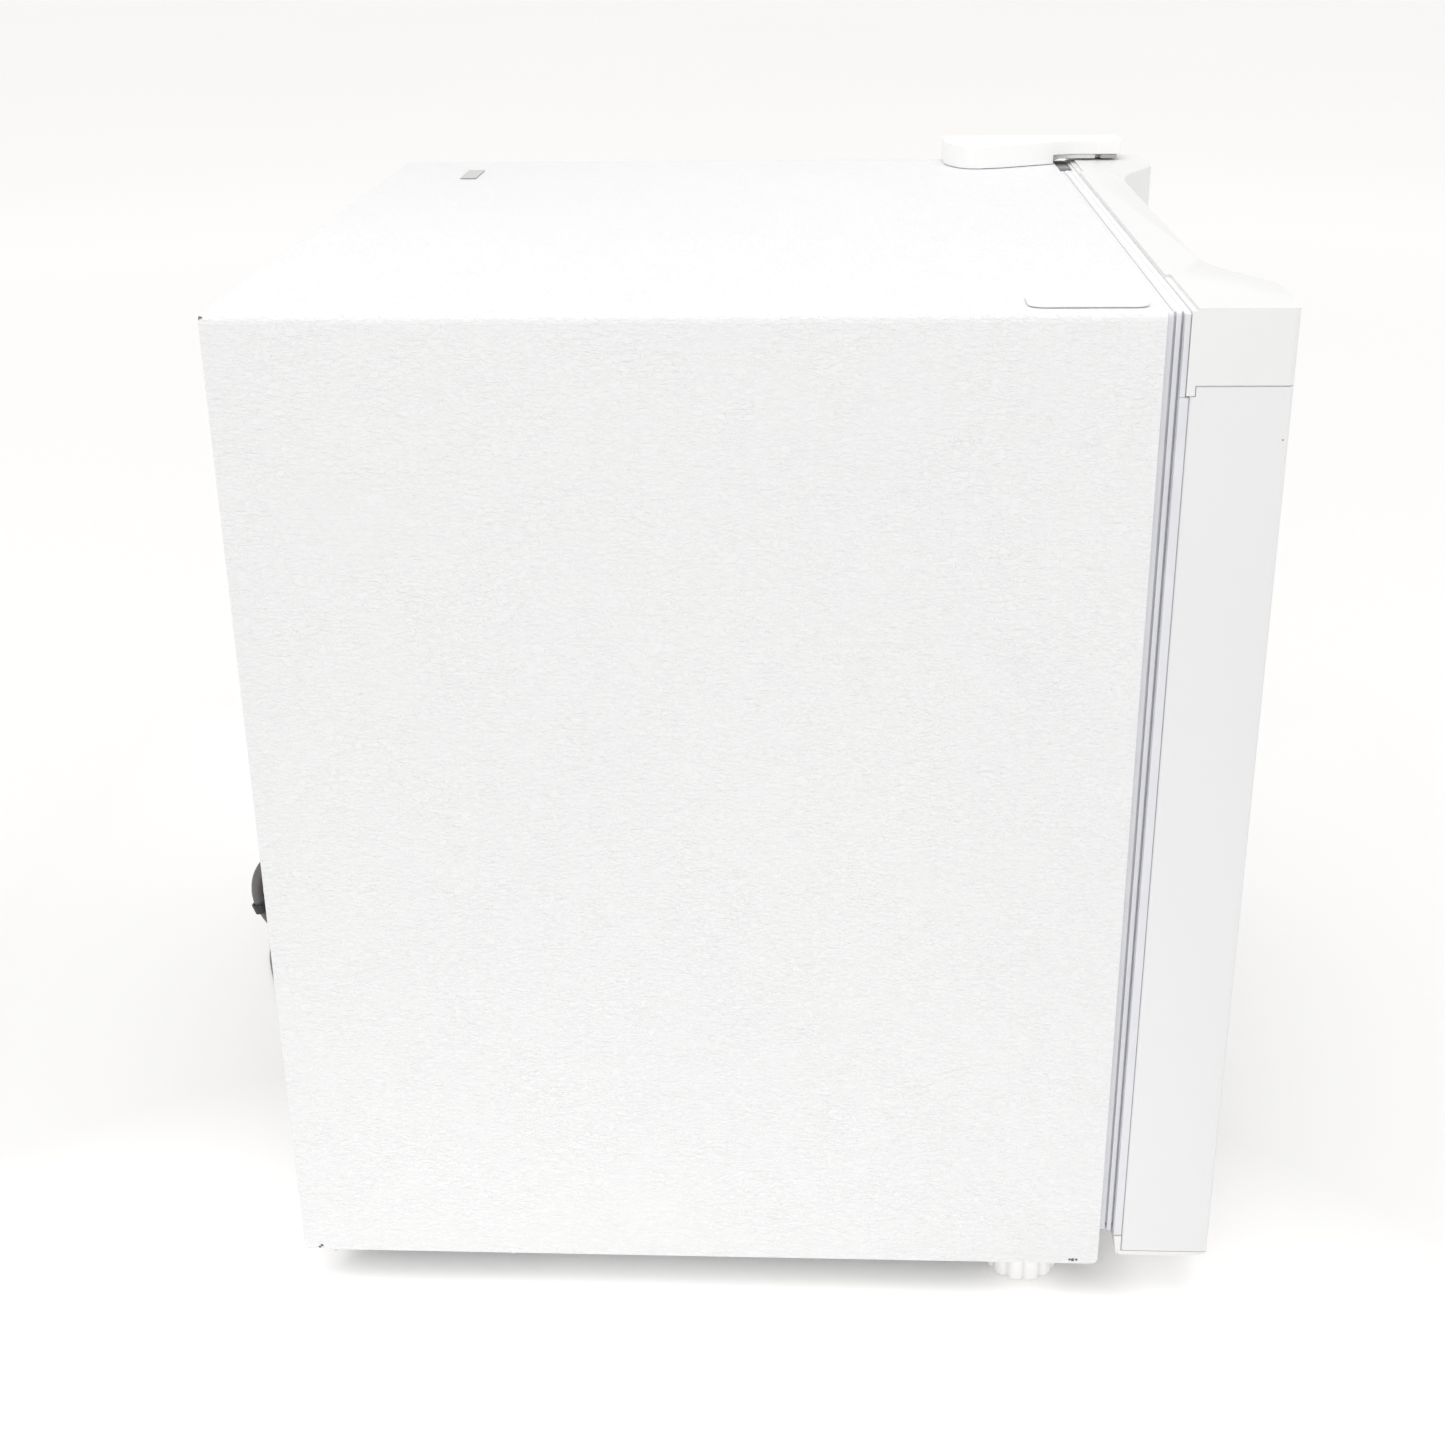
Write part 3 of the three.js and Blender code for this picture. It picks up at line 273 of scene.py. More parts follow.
def steel(name, a, b, rough, scratch_scale=(1400, 60, 1400)):
    n = Nodes(name)
    scratch = n.noise(1.0, 4.0, 0.65, scratch_scale)
    cloud = n.noise(30.0, 3.0, 0.5)
    n.base(n.mix(n.remap(cloud, 0.3, 0.7, 0.0, 1.0), a, b), n.remap(scratch, 0.3, 0.7, *rough), metal=0.95)
    n.normal(n.bump(scratch, 0.06, 0.00015))
    return n.mat


def bracket_steel():
    """Pale zinc-plated strip steel, painted darker from the pin to its free end as the shade under the hinge cover.
    """
    n = Nodes("hinge_steel")
    scratch = n.noise(1.0, 4.0, 0.65, (1400, 60, 1400))
    cloud = n.noise(30.0, 3.0, 0.5)
    xyz = n.new("ShaderNodeSeparateXYZ")
    n.link(n.co, xyz.inputs[0])
    # Painted shade: from the pin to the free end, under the hinge cover, the steel is painted darker.
    pin_shade = n.math("MULTIPLY", n.remap(xyz.outputs["Y"], (YS - 25.6) * MM, (YS - 24.6) * MM, 1.0, 0.0), n.remap(xyz.outputs["Z"], 0.3, 0.31, 0.0, 1.0))
    tone = n.mix(n.remap(cloud, 0.3, 0.7, 0.0, 1.0), (0.86, 0.855, 0.82), (0.90, 0.895, 0.87))
    tone = n.mix(pin_shade, tone, (0.50, 0.485, 0.47))
    n.base(tone, n.remap(scratch, 0.3, 0.7, 0.36, 0.5), metal=0.1)
    n.normal(n.bump(scratch, 0.06, 0.00015))
    return n.mat


def copper():
    n = Nodes("copper")
    tarnish = n.noise(38.0, 5.0, 0.6)
    fine = n.noise(600.0, 2.0, 0.5)
    tone = n.mix(n.remap(tarnish, 0.4, 0.68, 0.0, 1.0), (0.80, 0.42, 0.27), (0.42, 0.20, 0.13))
    n.base(tone, n.remap(tarnish, 0.3, 0.7, 0.2, 0.46), metal=0.95)
    n.normal(n.bump(fine, 0.06, 0.0001))
    return n.mat


def black_enamel():
    n = Nodes("black_steel")
    peel = n.noise(260.0, 2.0, 0.5)
    dust = n.noise(22.0, 5.0, 0.6)
    n.base(n.mix(n.remap(dust, 0.48, 0.75, 0.0, 1.0), (0.012, 0.012, 0.013), (0.055, 0.052, 0.048)), n.remap(dust, 0.3, 0.75, 0.2, 0.5), Coat_Weight=0.3, Coat_Roughness=0.15)
    n.normal(n.bump(peel, 0.1, 0.0003))
    return n.mat


def dark(name, a, b, rough, scale=700.0, strength=0.14):
    n = Nodes(name)
    fine = n.noise(scale, 3.0, 0.6)
    cloud = n.noise(40.0, 4.0, 0.6)
    n.base(n.mix(n.remap(cloud, 0.35, 0.7, 0.0, 1.0), a, b), n.remap(fine, 0.3, 0.7, *rough))
    n.normal(n.bump(fine, strength, 0.0002))
    return n.mat


def foam():
    n = Nodes("foam")
    cell = n.voronoi(900.0)
    cloud = n.noise(20.0, 4.0, 0.6)
    n.base(n.mix(cloud, (0.78, 0.66, 0.38), (0.70, 0.56, 0.28)), 0.9)
    n.normal(n.bump(cell, 0.4, 0.0006))
    return n.mat


def clear(name, tint, rough, ior=1.49):
    n = Nodes(name)
    smear = n.noise(24.0, 4.0, 0.6)
    fine = n.noise(300.0, 2.0, 0.5)
    n.base(n.mix(smear, tint, tuple(min(1.0, c * 1.03) for c in tint)), n.remap(smear, 0.3, 0.7, *rough), IOR=ior, Transmission_Weight=0.82)
    n.normal(n.bump(fine, 0.02, 0.0002))
    return n.mat


def label():
    n = Nodes("label_grey")
    fine = n.noise(900.0, 3.0, 0.6)
    n.base(n.mix(fine, (0.50, 0.50, 0.495), (0.58, 0.58, 0.575)), n.remap(fine, 0.3, 0.7, 0.4, 0.55))
    return n.mat


COVER = white_plastic("cover_plastic", (0.93, 0.93, 0.925), (0.95, 0.95, 0.945), (0.3, 0.42), 0.06)
MATS.update(
    shell_paint=shell_paint(), door_paint=door_paint(), white_plastic=white_plastic(),
    liner_plastic=white_plastic("liner_plastic", (0.83, 0.84, 0.835), (0.855, 0.86, 0.855), (0.2, 0.32), 0.05),
    foam=foam(), gasket_rubber=gasket_rubber(), galvanised_steel=galvanised(),
    hinge_steel=bracket_steel(),
    zinc_plated=steel("zinc_plated", (0.62, 0.63, 0.65), (0.74, 0.74, 0.73), (0.18, 0.34), (600, 600, 600)),
    black_steel=black_enamel(), copper=copper(),
    aluminium=steel("aluminium", (0.70, 0.715, 0.72), (0.78, 0.79, 0.795), (0.26, 0.4), (300, 900, 300)),
    black_rubber=dark("black_rubber", (0.018, 0.018, 0.018), (0.04, 0.039, 0.037), (0.6, 0.82)),
    black_plastic=dark("black_plastic", (0.02, 0.02, 0.021), (0.032, 0.032, 0.033), (0.38, 0.55)),
    cord_pvc=dark("cord_pvc", (0.115, 0.108, 0.104), (0.15, 0.142, 0.138), (0.4, 0.52), 500.0, 0.08),
    clear_plastic=clear("clear_plastic", (0.93, 0.965, 0.975), (0.04, 0.1)),
    shelf_glass=clear("shelf_glass", (0.82, 0.94, 0.90), (0.01, 0.04), 1.52),
    label_grey=label(),
    # A dark grey that stands in for the shade in the seal's corner under the hinge cover: painted shade.
    seal_dark=dark("seal_dark", (0.26, 0.258, 0.255), (0.31, 0.307, 0.303), (0.55, 0.7)),
    brass=steel("brass_blades", (0.72, 0.56, 0.28), (0.80, 0.64, 0.36), (0.2, 0.34)),
)
for node, obj in NODES.items():
    obj.data.materials.clear()
    obj.data.materials.append(MATS[SLOT[node]])


# ------------------------------------------------------------------ mesh helpers
def finish_mesh(obj, node, material=None, angle=32.0, replaces=True, body=None):
    me = obj.data
    me.shade_smooth()
    me.set_sharp_from_angle(angle=math.radians(angle))
    if not me.materials:
        me.materials.append(material or MATS[SLOT[node]])
    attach(obj, body or BODY[node])
    if replaces:
        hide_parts(node)
    return obj


def new_object(name, bm):
    me = bpy.data.meshes.new(name)
    bmesh.ops.recalc_face_normals(bm, faces=bm.faces)
    bm.to_mesh(me)
    bm.free()
    obj = bpy.data.objects.new(name, me)
    scene.collection.objects.link(obj)
    return obj


def cad_bmesh(node, dissolve=0.4):
    """The node's mesh with its facets joined into clean flat faces."""
    bm = bmesh.new()
    bm.from_mesh(NODES[node].data)
    bmesh.ops.remove_doubles(bm, verts=bm.verts, dist=2e-6)
    bmesh.ops.dissolve_limit(bm, angle_limit=math.radians(dissolve), verts=bm.verts, edges=bm.edges)
    return bm


def bevel_mod(obj, width, segments=3, angle=32.0):
    m = obj.modifiers.new("edge_radius", "BEVEL")
    m.width = width * MM
    m.segments = segments
    m.limit_method = "ANGLE"
    m.angle_limit = math.radians(angle)
    m.harden_normals = True
    m.use_clamp_overlap = True
    m.miter_outer = "MITER_ARC" if segments > 2 else "MITER_SHARP"
    return m


BRIGHT = ("hinge_cover", "spare_hinge_hole_cover", "front_foot_left", "front_foot_right")


def softened(node, width, segments=2, angle=32.0, smooth=32.0):
    """Stands for a CAD node: the same form with its moulded or folded edge radii."""
    obj = new_object(node + "_finished", cad_bmesh(node))
    finish_mesh(obj, node, COVER if node in BRIGHT else None, angle=smooth)
    bevel_mod(obj, width, segments, angle)
    return obj


def spline(points, per=8, closed=False):
    """Centripetal Catmull-Rom through the points."""
    P = [np.array(p, float) for p in points]
    n = len(P)
    out = []
    for i in range(n if closed else n - 1):
        p0 = P[(i - 1) % n] if closed or i > 0 else 2 * P[0] - P[1]
        p1, p2 = P[i], P[(i + 1) % n]
        p3 = P[(i + 2) % n] if closed or i + 2 < n else 2 * P[-1] - P[-2]
        t0, t1 = 0.0, np.linalg.norm(p1 - p0) ** 0.5
        t2 = t1 + np.linalg.norm(p2 - p1) ** 0.5
        t3 = t2 + np.linalg.norm(p3 - p2) ** 0.5
        for k in range(per):
            t = t1 + (t2 - t1) * k / per
            a1 = (t1 - t) / (t1 - t0) * p0 + (t - t0) / (t1 - t0) * p1
            a2 = (t2 - t) / (t2 - t1) * p1 + (t - t1) / (t2 - t1) * p2
            a3 = (t3 - t) / (t3 - t2) * p2 + (t - t2) / (t3 - t2) * p3
            b1 = (t2 - t) / (t2 - t0) * a1 + (t - t0) / (t2 - t0) * a2
            b2 = (t3 - t) / (t3 - t1) * a2 + (t - t1) / (t3 - t1) * a3
            out.append((t2 - t) / (t2 - t1) * b1 + (t - t1) / (t2 - t1) * b2)
    if not closed:
        out.append(P[-1])
    return out


def sweep(name, points, radius, sides=16):
    """A round tube with closed ends along points, in millimetres of the cabinet's own frame."""
    P = [Vector(p) * MM for p in points]
    bm = bmesh.new()
    rings, normal = [], None
    for i, p in enumerate(P):
        t = (P[min(i + 1, len(P) - 1)] - P[max(i - 1, 0)]).normalized()
        if normal is None:
            normal = t.orthogonal().normalized()
        normal = (normal - t * normal.dot(t)).normalized()
        b = t.cross(normal)
        rings.append([bm.verts.new(p + (normal * math.cos(a) + b * math.sin(a)) * radius * MM) for a in [k / sides * 2 * math.pi for k in range(sides)]])
    for r, s in zip(rings, rings[1:]):
        for k in range(sides):
            bm.faces.new((r[k], r[(k + 1) % sides], s[(k + 1) % sides], s[k]))
    bm.faces.new(rings[0])
    bm.faces.new(rings[-1])
    return new_object(name, bm)


def lathe(name, profile, origin, axis=(0, 0, 1), segments=64):
    """profile of (radius, height) in millimetres turned about axis at origin (row frame, millimetres)."""
    q = Vector((0, 0, 1)).rotation_difference(Vector(axis))
    bm = bmesh.new()
    rings = []
    for r, h in profile:
        if r < 1e-6:
            rings.append([bm.verts.new((q @ Vector((0, 0, h)) + Vector(origin)) * MM)])
        else:
            rings.append([bm.verts.new((q @ Vector((r * math.cos(a), r * math.sin(a), h)) + Vector(origin)) * MM) for a in [k / segments * 2 * math.pi for k in range(segments)]])
    for r, s in zip(rings, rings[1:]):
        for k in range(segments):
            f = [r[k % len(r)], r[(k + 1) % len(r)], s[(k + 1) % len(s)], s[k % len(s)]]
            f = list(dict.fromkeys(f))
            if len(f) > 2:
                bm.faces.new(f)
    for r in (rings[0], rings[-1]):
        if len(r) > 1:
            bm.faces.new(r)
    return new_object(name, bm)


def loft(name, rings, cap=(True, True)):
    """Faces between rings of equal point count (metres), each closed on itself."""
    bm = bmesh.new()
    V = [[bm.verts.new(p) for p in r] for r in rings]
    n = len(V[0])
    for r, s in zip(V, V[1:]):
        for k in range(n):
            bm.faces.new((r[k], r[(k + 1) % n], s[(k + 1) % n], s[k]))
    if cap[0]:
        bm.faces.new(V[0])
    if cap[1]:
        bm.faces.new(V[-1])
    return new_object(name, bm)


# ------------------------------------------------------------------ mains lead
def cord_points():
    """The lead's centreline in millimetres, from the strain relief to the plug."""
    dip = math.radians(40)
    dy, dz = math.cos(dip), -math.sin(dip)
    out = lambda s: (CORD_X, D - 1 + dy * s, CORD_Z + dz * s)
    bend, by, bz = 24.0, D + 28.3 - 24.0, ZB + 160.2
    arc = lambda deg: (CORD_X, by + bend * math.sin(math.radians(deg)), bz + bend * math.cos(math.radians(deg)))
    floor = CORD_R + 0.1
    in_y, out_y = COIL_Y + COIL_R + 6.15, COIL_Y - COIL_R - 6.15
    lead = [out(20), out(25.1), arc(42), arc(56), arc(72), arc(90), arc(106), arc(120),
            (CORD_X, D + 19.6, bz - 22), (CORD_X, D + 16.4, bz - 36), (CORD_X + 0.5, D + 15.2, bz - 52), (CORD_X + 1, D + 15, bz - 84), (CORD_X + 1, D + 15, 62), (CORD_X + 1.4, D + 15.2, 40),
            (CORD_X + 3.6, D + 15.8, 20.5), (CORD_X + 10.8, D + 17, 9.2), (CORD_X + 22, D + 19, 4.1), (CORD_X + 36, D + 22, floor), (CORD_X + 62, D + 29.5, floor),
            (CORD_X + 104, D + 43.5, floor), (CORD_X + 148, D + 61, floor), (CORD_X + 192, D + 80, floor), (COIL_X - 68, in_y - 7.5, floor + 0.2), (COIL_X - 44, in_y - 1.6, floor + 0.8), (COIL_X - 24.2, in_y, floor + 1.3),
            (COIL_X - 12, in_y, 4.4), (COIL_X, in_y, 4.4)]
    lead = [tuple(p) for p in spline(lead, 6)]
    step = lambda a, b, f: (lambda t: t * t * (3 - 2 * t))(min(1.0, max(0.0, (f - a) / (b - a))))
    coil, turns, pitch, n = [], 5.5, 6.15, 40
    for i in range(1, int(turns * n) + 1):
        t = i / n
        k = int(min(t, turns - 1e-9))
        f = t - k
        if k < 3:      # the lower layer works inwards
            r, z = COIL_R + pitch - pitch * k, 4.4
            if k < 2:
                r -= pitch * step(0.8, 1.0, f)
            else:
                z += pitch * step(0.66, 0.84, f)
        else:          # the upper layer works outwards
            r, z = COIL_R - pitch + pitch * (k - 3), 4.4 + pitch
            if k < 5:
                r += pitch * step(0.5, 0.7, f)
        a = math.radians(90 - 360 * t)
        coil.append((COIL_X + r * math.cos(a), COIL_Y + r * math.sin(a), z))
    tail = [(COIL_X - 10, out_y, 10.7), (COIL_X - 20, out_y, 11.1), (COIL_X - 30, out_y, 11.2)]
    return [Vector((x, y + YS, z)) for x, y, z in lead + coil + tail]


route = cord_points()
curve = bpy.data.curves.new("mains_lead", "CURVE")
curve.dimensions = "3D"
curve.bevel_depth = CORD_R * MM
curve.bevel_resolution = 4
curve.use_fill_caps = True
sp = curve.splines.new("POLY")
sp.points.add(len(route) - 1)
for p, v in zip(sp.points, route):
    p.co = (*(v * MM), 1)
sp.use_smooth = True
lead = bpy.data.objects.new("mains_lead", curve)
scene.collection.objects.link(lead)
curve.materials.append(MATS["cord_pvc"])
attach(lead, "cabinet")
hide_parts("power_cord", "cord_coil")


def strain_relief():
    """Tapered boot with bend-relief rings, and its flange on the rear panel."""
    dip = math.radians(40)
    axis = Vector((0, math.cos(dip), -math.sin(dip)))
    seat = Vector((CORD_X, D - 1.0 + YS, CORD_Z)) + axis * 1.5
    profile = [(0, 0.5), (6.1, 0.5), (6.2, 1.5)]
    s, r = 2.6, 6.1
    while s < 21:
        profile += [(r, s), (r, s + 1.3), (r - 1.1, s + 1.7), (r - 1.1, s + 2.5)]
        s += 2.9
        r -= 0.26
    profile += [(4.2, 21.6), (4.2, 22.6), (3.8, 23.2), (0, 23.2)]
    boot = lathe("cord_boot", profile, seat, axis, 40)
    finish_mesh(boot, "cord_strain_relief", angle=40)
    # the part of the boot inside the panel isn't needed
    bm = bmesh.new()
    bm.from_mesh(boot.data)
    bmesh.ops.bisect_plane(bm, geom=bm.verts[:] + bm.edges[:] + bm.faces[:], plane_co=(0, (D - 1.0 + YS) * MM, 0), plane_no=(0, -1, 0), clear_outer=True)
    bmesh.ops.holes_fill(bm, edges=bm.edges)
    bm.to_mesh(boot.data)
    bm.free()
    flange = lathe("cord_boot_flange", [(0, 0), (9.3, 0), (9.6, 0.3), (9.6, 1.5), (9.1, 2.0), (8.4, 2.6), (7.8, 2.8), (0, 2.8)], (CORD_X, D - 1.0 + YS, CORD_Z), (0, 1, 0), 48)
    finish_mesh(flange, "cord_strain_relief", replaces=False)
    return boot, flange


boot, boot_flange = strain_relief()
band = softened("cord_band", 0.25)
coil_tie = softened("coil_tie", 0.4)


def plug_piece():
    obj = new_object("plug_finished", cad_bmesh("plug"))
    obj.data.materials.append(MATS["cord_pvc"])
    obj.data.materials.append(MATS["brass"])
    edge = (COIL_X - 25.2 - 47.4) * MM
    for f in obj.data.polygons:
        f.material_index = 1 if f.center.x < edge and all(obj.data.vertices[v].co.x < edge + 1e-4 for v in f.vertices) and f.area < 3e-4 and max(obj.data.vertices[v].co.x for v in f.vertices) < edge + 1e-5 or (min(obj.data.vertices[v].co.x for v in f.vertices) < edge - 0.004) else 0
    finish_mesh(obj, "plug")
    bevel_mod(obj, 0.7, 3)
    return obj


plug = plug_piece()

# ------------------------------------------------------------------ general edge radii
RADII = {
    "outer_shell": (0.45, 3), "bottom_panel": (0.4, 2), "step_panel": (0.3, 2), "rear_panel": (0.3, 2), "front_crossbar": (0.3, 2),
    "evaporator": (0.5, 2), "freezer_frame": (0.8, 3), "tray_runner_left": (0.4, 2), "tray_runner_right": (0.4, 2), "thermostat_housing": (0.7, 3), "thermostat_control": (0.5, 2),
    "compressor_base": (0.5, 2), "starter_box": (1.5, 3), "upper_hinge_bracket": (0.5, 3), "upper_hinge_washer": (0.4, 2), "upper_hinge_screw_1": (0.25, 2), "upper_hinge_screw_2": (0.25, 2),
    "lower_hinge_bracket": (0.5, 3), "lower_hinge_screw_1": (0.25, 2), "lower_hinge_screw_2": (0.25, 2), "spare_hinge_hole_cover": (0.5, 3), "blank_label": (0.1, 1),
    "door_top_cap": (0.8, 3), "door_rack_upper": (0.7, 3), "door_rack_lower": (0.7, 3),
    "freezer_flap": (0.6, 3), "drip_tray": (0.6, 3), "shelf_glass": (0.8, 3), "shelf_front_trim": (0.4, 2), "thermostat_knob": (0.5, 3),
}
def round_edges(bm, test, radius, segments, clamp=True):
    """Rounds the mesh edges that the test picks (both ends given in millimetres)."""
    picked = [e for e in bm.edges if len(e.link_faces) == 2 and e.calc_face_angle(0) > 0.5 and test(e.verts[0].co * 1000, e.verts[1].co * 1000)]
    if picked:
        bmesh.ops.bevel(bm, geom=picked, offset=radius * MM, segments=segments, affect="EDGES", profile=0.5, clamp_overlap=clamp)
    return len(picked)


def door_skin():
    bm = cad_bmesh("door_skin")
    near = lambda v, w: abs(v - w) < 0.25
    side = lambda a, b: near(abs(a.x), HW) and near(abs(b.x), HW)
    print("skin rear", round_edges(bm, lambda a, b: side(a, b) and near(a.y, SKIN_REAR + YS) and near(b.y, SKIN_REAR + YS) and abs(a.z - b.z) > 50, 2.2, 6, False))
    print("skin top", round_edges(bm, lambda a, b: side(a, b) and near(a.z, SPLIT - 0.15) and near(b.z, SPLIT - 0.15) and abs(a.y - b.y) > 10, 1.4, 5, False))
    obj = new_object("door_skin_finished", bm)
    finish_mesh(obj, "door_skin", angle=32)
    bevel_mod(obj, 0.4, 3)
    return obj


def inner_liner():
    """The moulded liner with its filleted corners."""
    bm = cad_bmesh("inner_liner")
    ix, planes_y, planes_z = HW - 36, (354 + YS, 250 + YS), (ZB + 45, ZT - 40, 203)

    def test(a, b):
        if min(a.y, b.y) < 1.0 + YS or max(abs(a.x), abs(b.x)) > ix + 0.3:
            return False
        on = lambda v, ws: any(abs(v - w) < 0.2 for w in ws)
        both = lambda k, ws: on(a[k], ws) and on(b[k], ws)
        flags = (both(0, (ix, -ix)), both(1, planes_y), both(2, planes_z))
        return sum(flags) >= 2 and (a - b).length > 30
    print("liner fillets", round_edges(bm, test, 6.0, 5))
    obj = new_object("inner_liner_finished", bm)
    finish_mesh(obj, "inner_liner", angle=32)
    bevel_mod(obj, 0.6, 3)
    return obj


def strip(name, x0, x1, y0, y1, z0, z1, node, radius, material=None):
    """A small straight bar in the cabinet's own frame."""
    bm = bmesh.new()
    bmesh.ops.create_cube(bm, size=1.0)
    for v in bm.verts:
        v.co = Vector(((x0 + x1) / 2 + v.co.x * (x1 - x0), (y0 + y1) / 2 + YS + v.co.y * (y1 - y0), (z0 + z1) / 2 + v.co.z * (z1 - z0))) * MM
    obj = new_object(name, bm)
    finish_mesh(obj, node, material, replaces=False)
    bevel_mod(obj, radius, 3)
    return obj


def door_bottom_cap():
    """The lower end cap, its front lower edge well rounded."""
    bm = cad_bmesh("door_bottom_cap")
    zlow = min(v.co.z for v in bm.verts) * 1000
    print("cap front", round_edges(bm, lambda a, b: abs(a.z - zlow) < 0.1 and abs(b.z - zlow) < 0.1 and max(a.y, b.y) < -50 + YS, 1.9, 6, False))
    obj = new_object("door_bottom_cap_finished", bm)
    finish_mesh(obj, "door_bottom_cap", angle=32)
    bevel_mod(obj, 0.5, 3)
    return obj


def door_seal():
    """The bellows seal, with its outer lip carried back to the door sheet on both sides."""
    bm = cad_bmesh("door_gasket")
    top, left, right, low = ZT - 0.6, -226.5, 224.0, ZB + 16.8
    shift = {-2.8: -2.95, -4.2: -4.1, -4.1: -4.0, -5.8: -5.9, -5.9: -6.0, -7.2: -7.1, -7.1: -7.0}
    for v in bm.verts:
        x, y, z = v.co.x * 1000, v.co.y * 1000 - YS, v.co.z * 1000
        for a, b in shift.items():
            if abs(y - a) < 0.04:
                v.co.y = (b + YS) * MM
                break
        if abs(y + 9.3) < 0.04 and top - z < 0.5:
            v.co.y = (-9.62 + YS) * MM
        inset = min(x - left, right - x, top - z, z - low)
        if abs(inset - 3.4) < 0.25:          # floor of a groove
            if top - z < 3.7:
                v.co.z = (top - 0.3 - (0.25 if top - z > 3.6 else 0.0)) * MM
            if x - left < 3.7:
                v.co.x = (x - 1.1) * MM
            if right - x < 3.7:
                v.co.x = (x + 1.1) * MM
    obj = new_object("door_gasket_finished", bm)
    finish_mesh(obj, "door_gasket", angle=32)
    bevel_mod(obj, 0.3, 3)
    for side, x0, x1 in (("left", -229.15, -226.35), ("right", 223.85, 229.15)):
        strip("seal_lip_" + side, x0, x1, -11.05, -7.15, low, SPLIT - 4.95, "door_gasket", 0.45)
        if side == "left":
            strip("seal_lip_upper", x0, x1, -9.55, -7.15, SPLIT - 4.9, top, "door_gasket", 0.45)
    # A block at the seal's hinge-side top corner under the hinge cover; its dark colour is painted shade for that
    # shaded corner, not the rubber's own colour.
    strip("seal_corner_painted_shade", 191.0, 223.6, -8.1, -0.8, ZT - 6.4, ZT - 1.0, "door_gasket", 0.5, MATS["seal_dark"])
    return obj


def door_liner():
    """The vacuum-formed inner door, its rim held in under the seal's lip."""
    bm = cad_bmesh("door_liner")
    for v in bm.verts:
        if v.co.x < -0.2285:
            v.co.x = -0.2262
        elif v.co.x > 0.2285:
            v.co.x = 0.2237
    obj = new_object("door_liner_finished", bm)
    finish_mesh(obj, "door_liner", angle=32)
    bevel_mod(obj, 0.55, 3)
    return obj


def hinge_cover():
    """The moulded hinge cover; its left wall reaches the cabinet top right up to the front rim."""
    bm = cad_bmesh("hinge_cover")
    moved = 0
    for v in bm.verts:
        y = v.co.y * 1000 - YS
        if abs(y - 5.5) < 0.1 and v.co.x * 1000 < 204.5:
            t = 5.5 - 1.25
            v.co.y = (1.25 + YS) * MM
            v.co.x += t * 0.4837 * MM
            moved += 1
    print("cover verts", moved)
    obj = new_object("hinge_cover_finished", bm)
    finish_mesh(obj, "hinge_cover", COVER, angle=32)
    bevel_mod(obj, 1.3, 4)
    return obj


for node, (radius, segments) in RADII.items():
    softened(node, radius, segments)
door_skin()
door_bottom_cap()
door_seal()
door_liner()
hinge_cover()
inner_liner()


# ------------------------------------------------------------------ round parts made finer
def row(p):
    return (p[0], p[1] + YS, p[2])


def merged(name, parts):
    """One object from several closed shells."""
    bm = bmesh.new()
    for o in parts:
        bm.from_mesh(o.data)
        me = o.data
        bpy.data.objects.remove(o)
        bpy.data.meshes.remove(me)
    me = bpy.data.meshes.new(name)
    bm.to_mesh(me)
    bm.free()
    obj = bpy.data.objects.new(name, me)
    scene.collection.objects.link(obj)
    return obj


def smooth_profile(points, per=5):
    return [tuple(max(0.0, c) if i == 0 else c for i, c in enumerate(p)) for p in spline(points, per)]


def rounded_plate(name, x0, x1, y0, y1, z0, z1, r, edge=0.6):
    pts = []
    for cx, cy, a0 in ((x1 - r, y1 - r, 0), (x0 + r, y1 - r, 90), (x0 + r, y0 + r, 180), (x1 - r, y0 + r, 270)):
        for k in range(9):
            a = math.radians(a0 + 90 * k / 8)
            pts.append((cx + r * math.cos(a), cy + r * math.sin(a)))
    mx, my = (x0 + x1) / 2, (y0 + y1) / 2
    ring = lambda z, k: [Vector((mx + (x - mx) * (1 - k / abs(x1 - mx)), my + (y - my) * (1 - k / abs(y1 - my)) + YS, z)) * MM for x, y in pts]
    return loft(name, [ring(z0, edge), ring(z0 + edge * 0.3, edge * 0.3), ring(z0 + edge, 0), ring(z1 - edge, 0), ring(z1 - edge * 0.3, edge * 0.3), ring(z1, edge)])


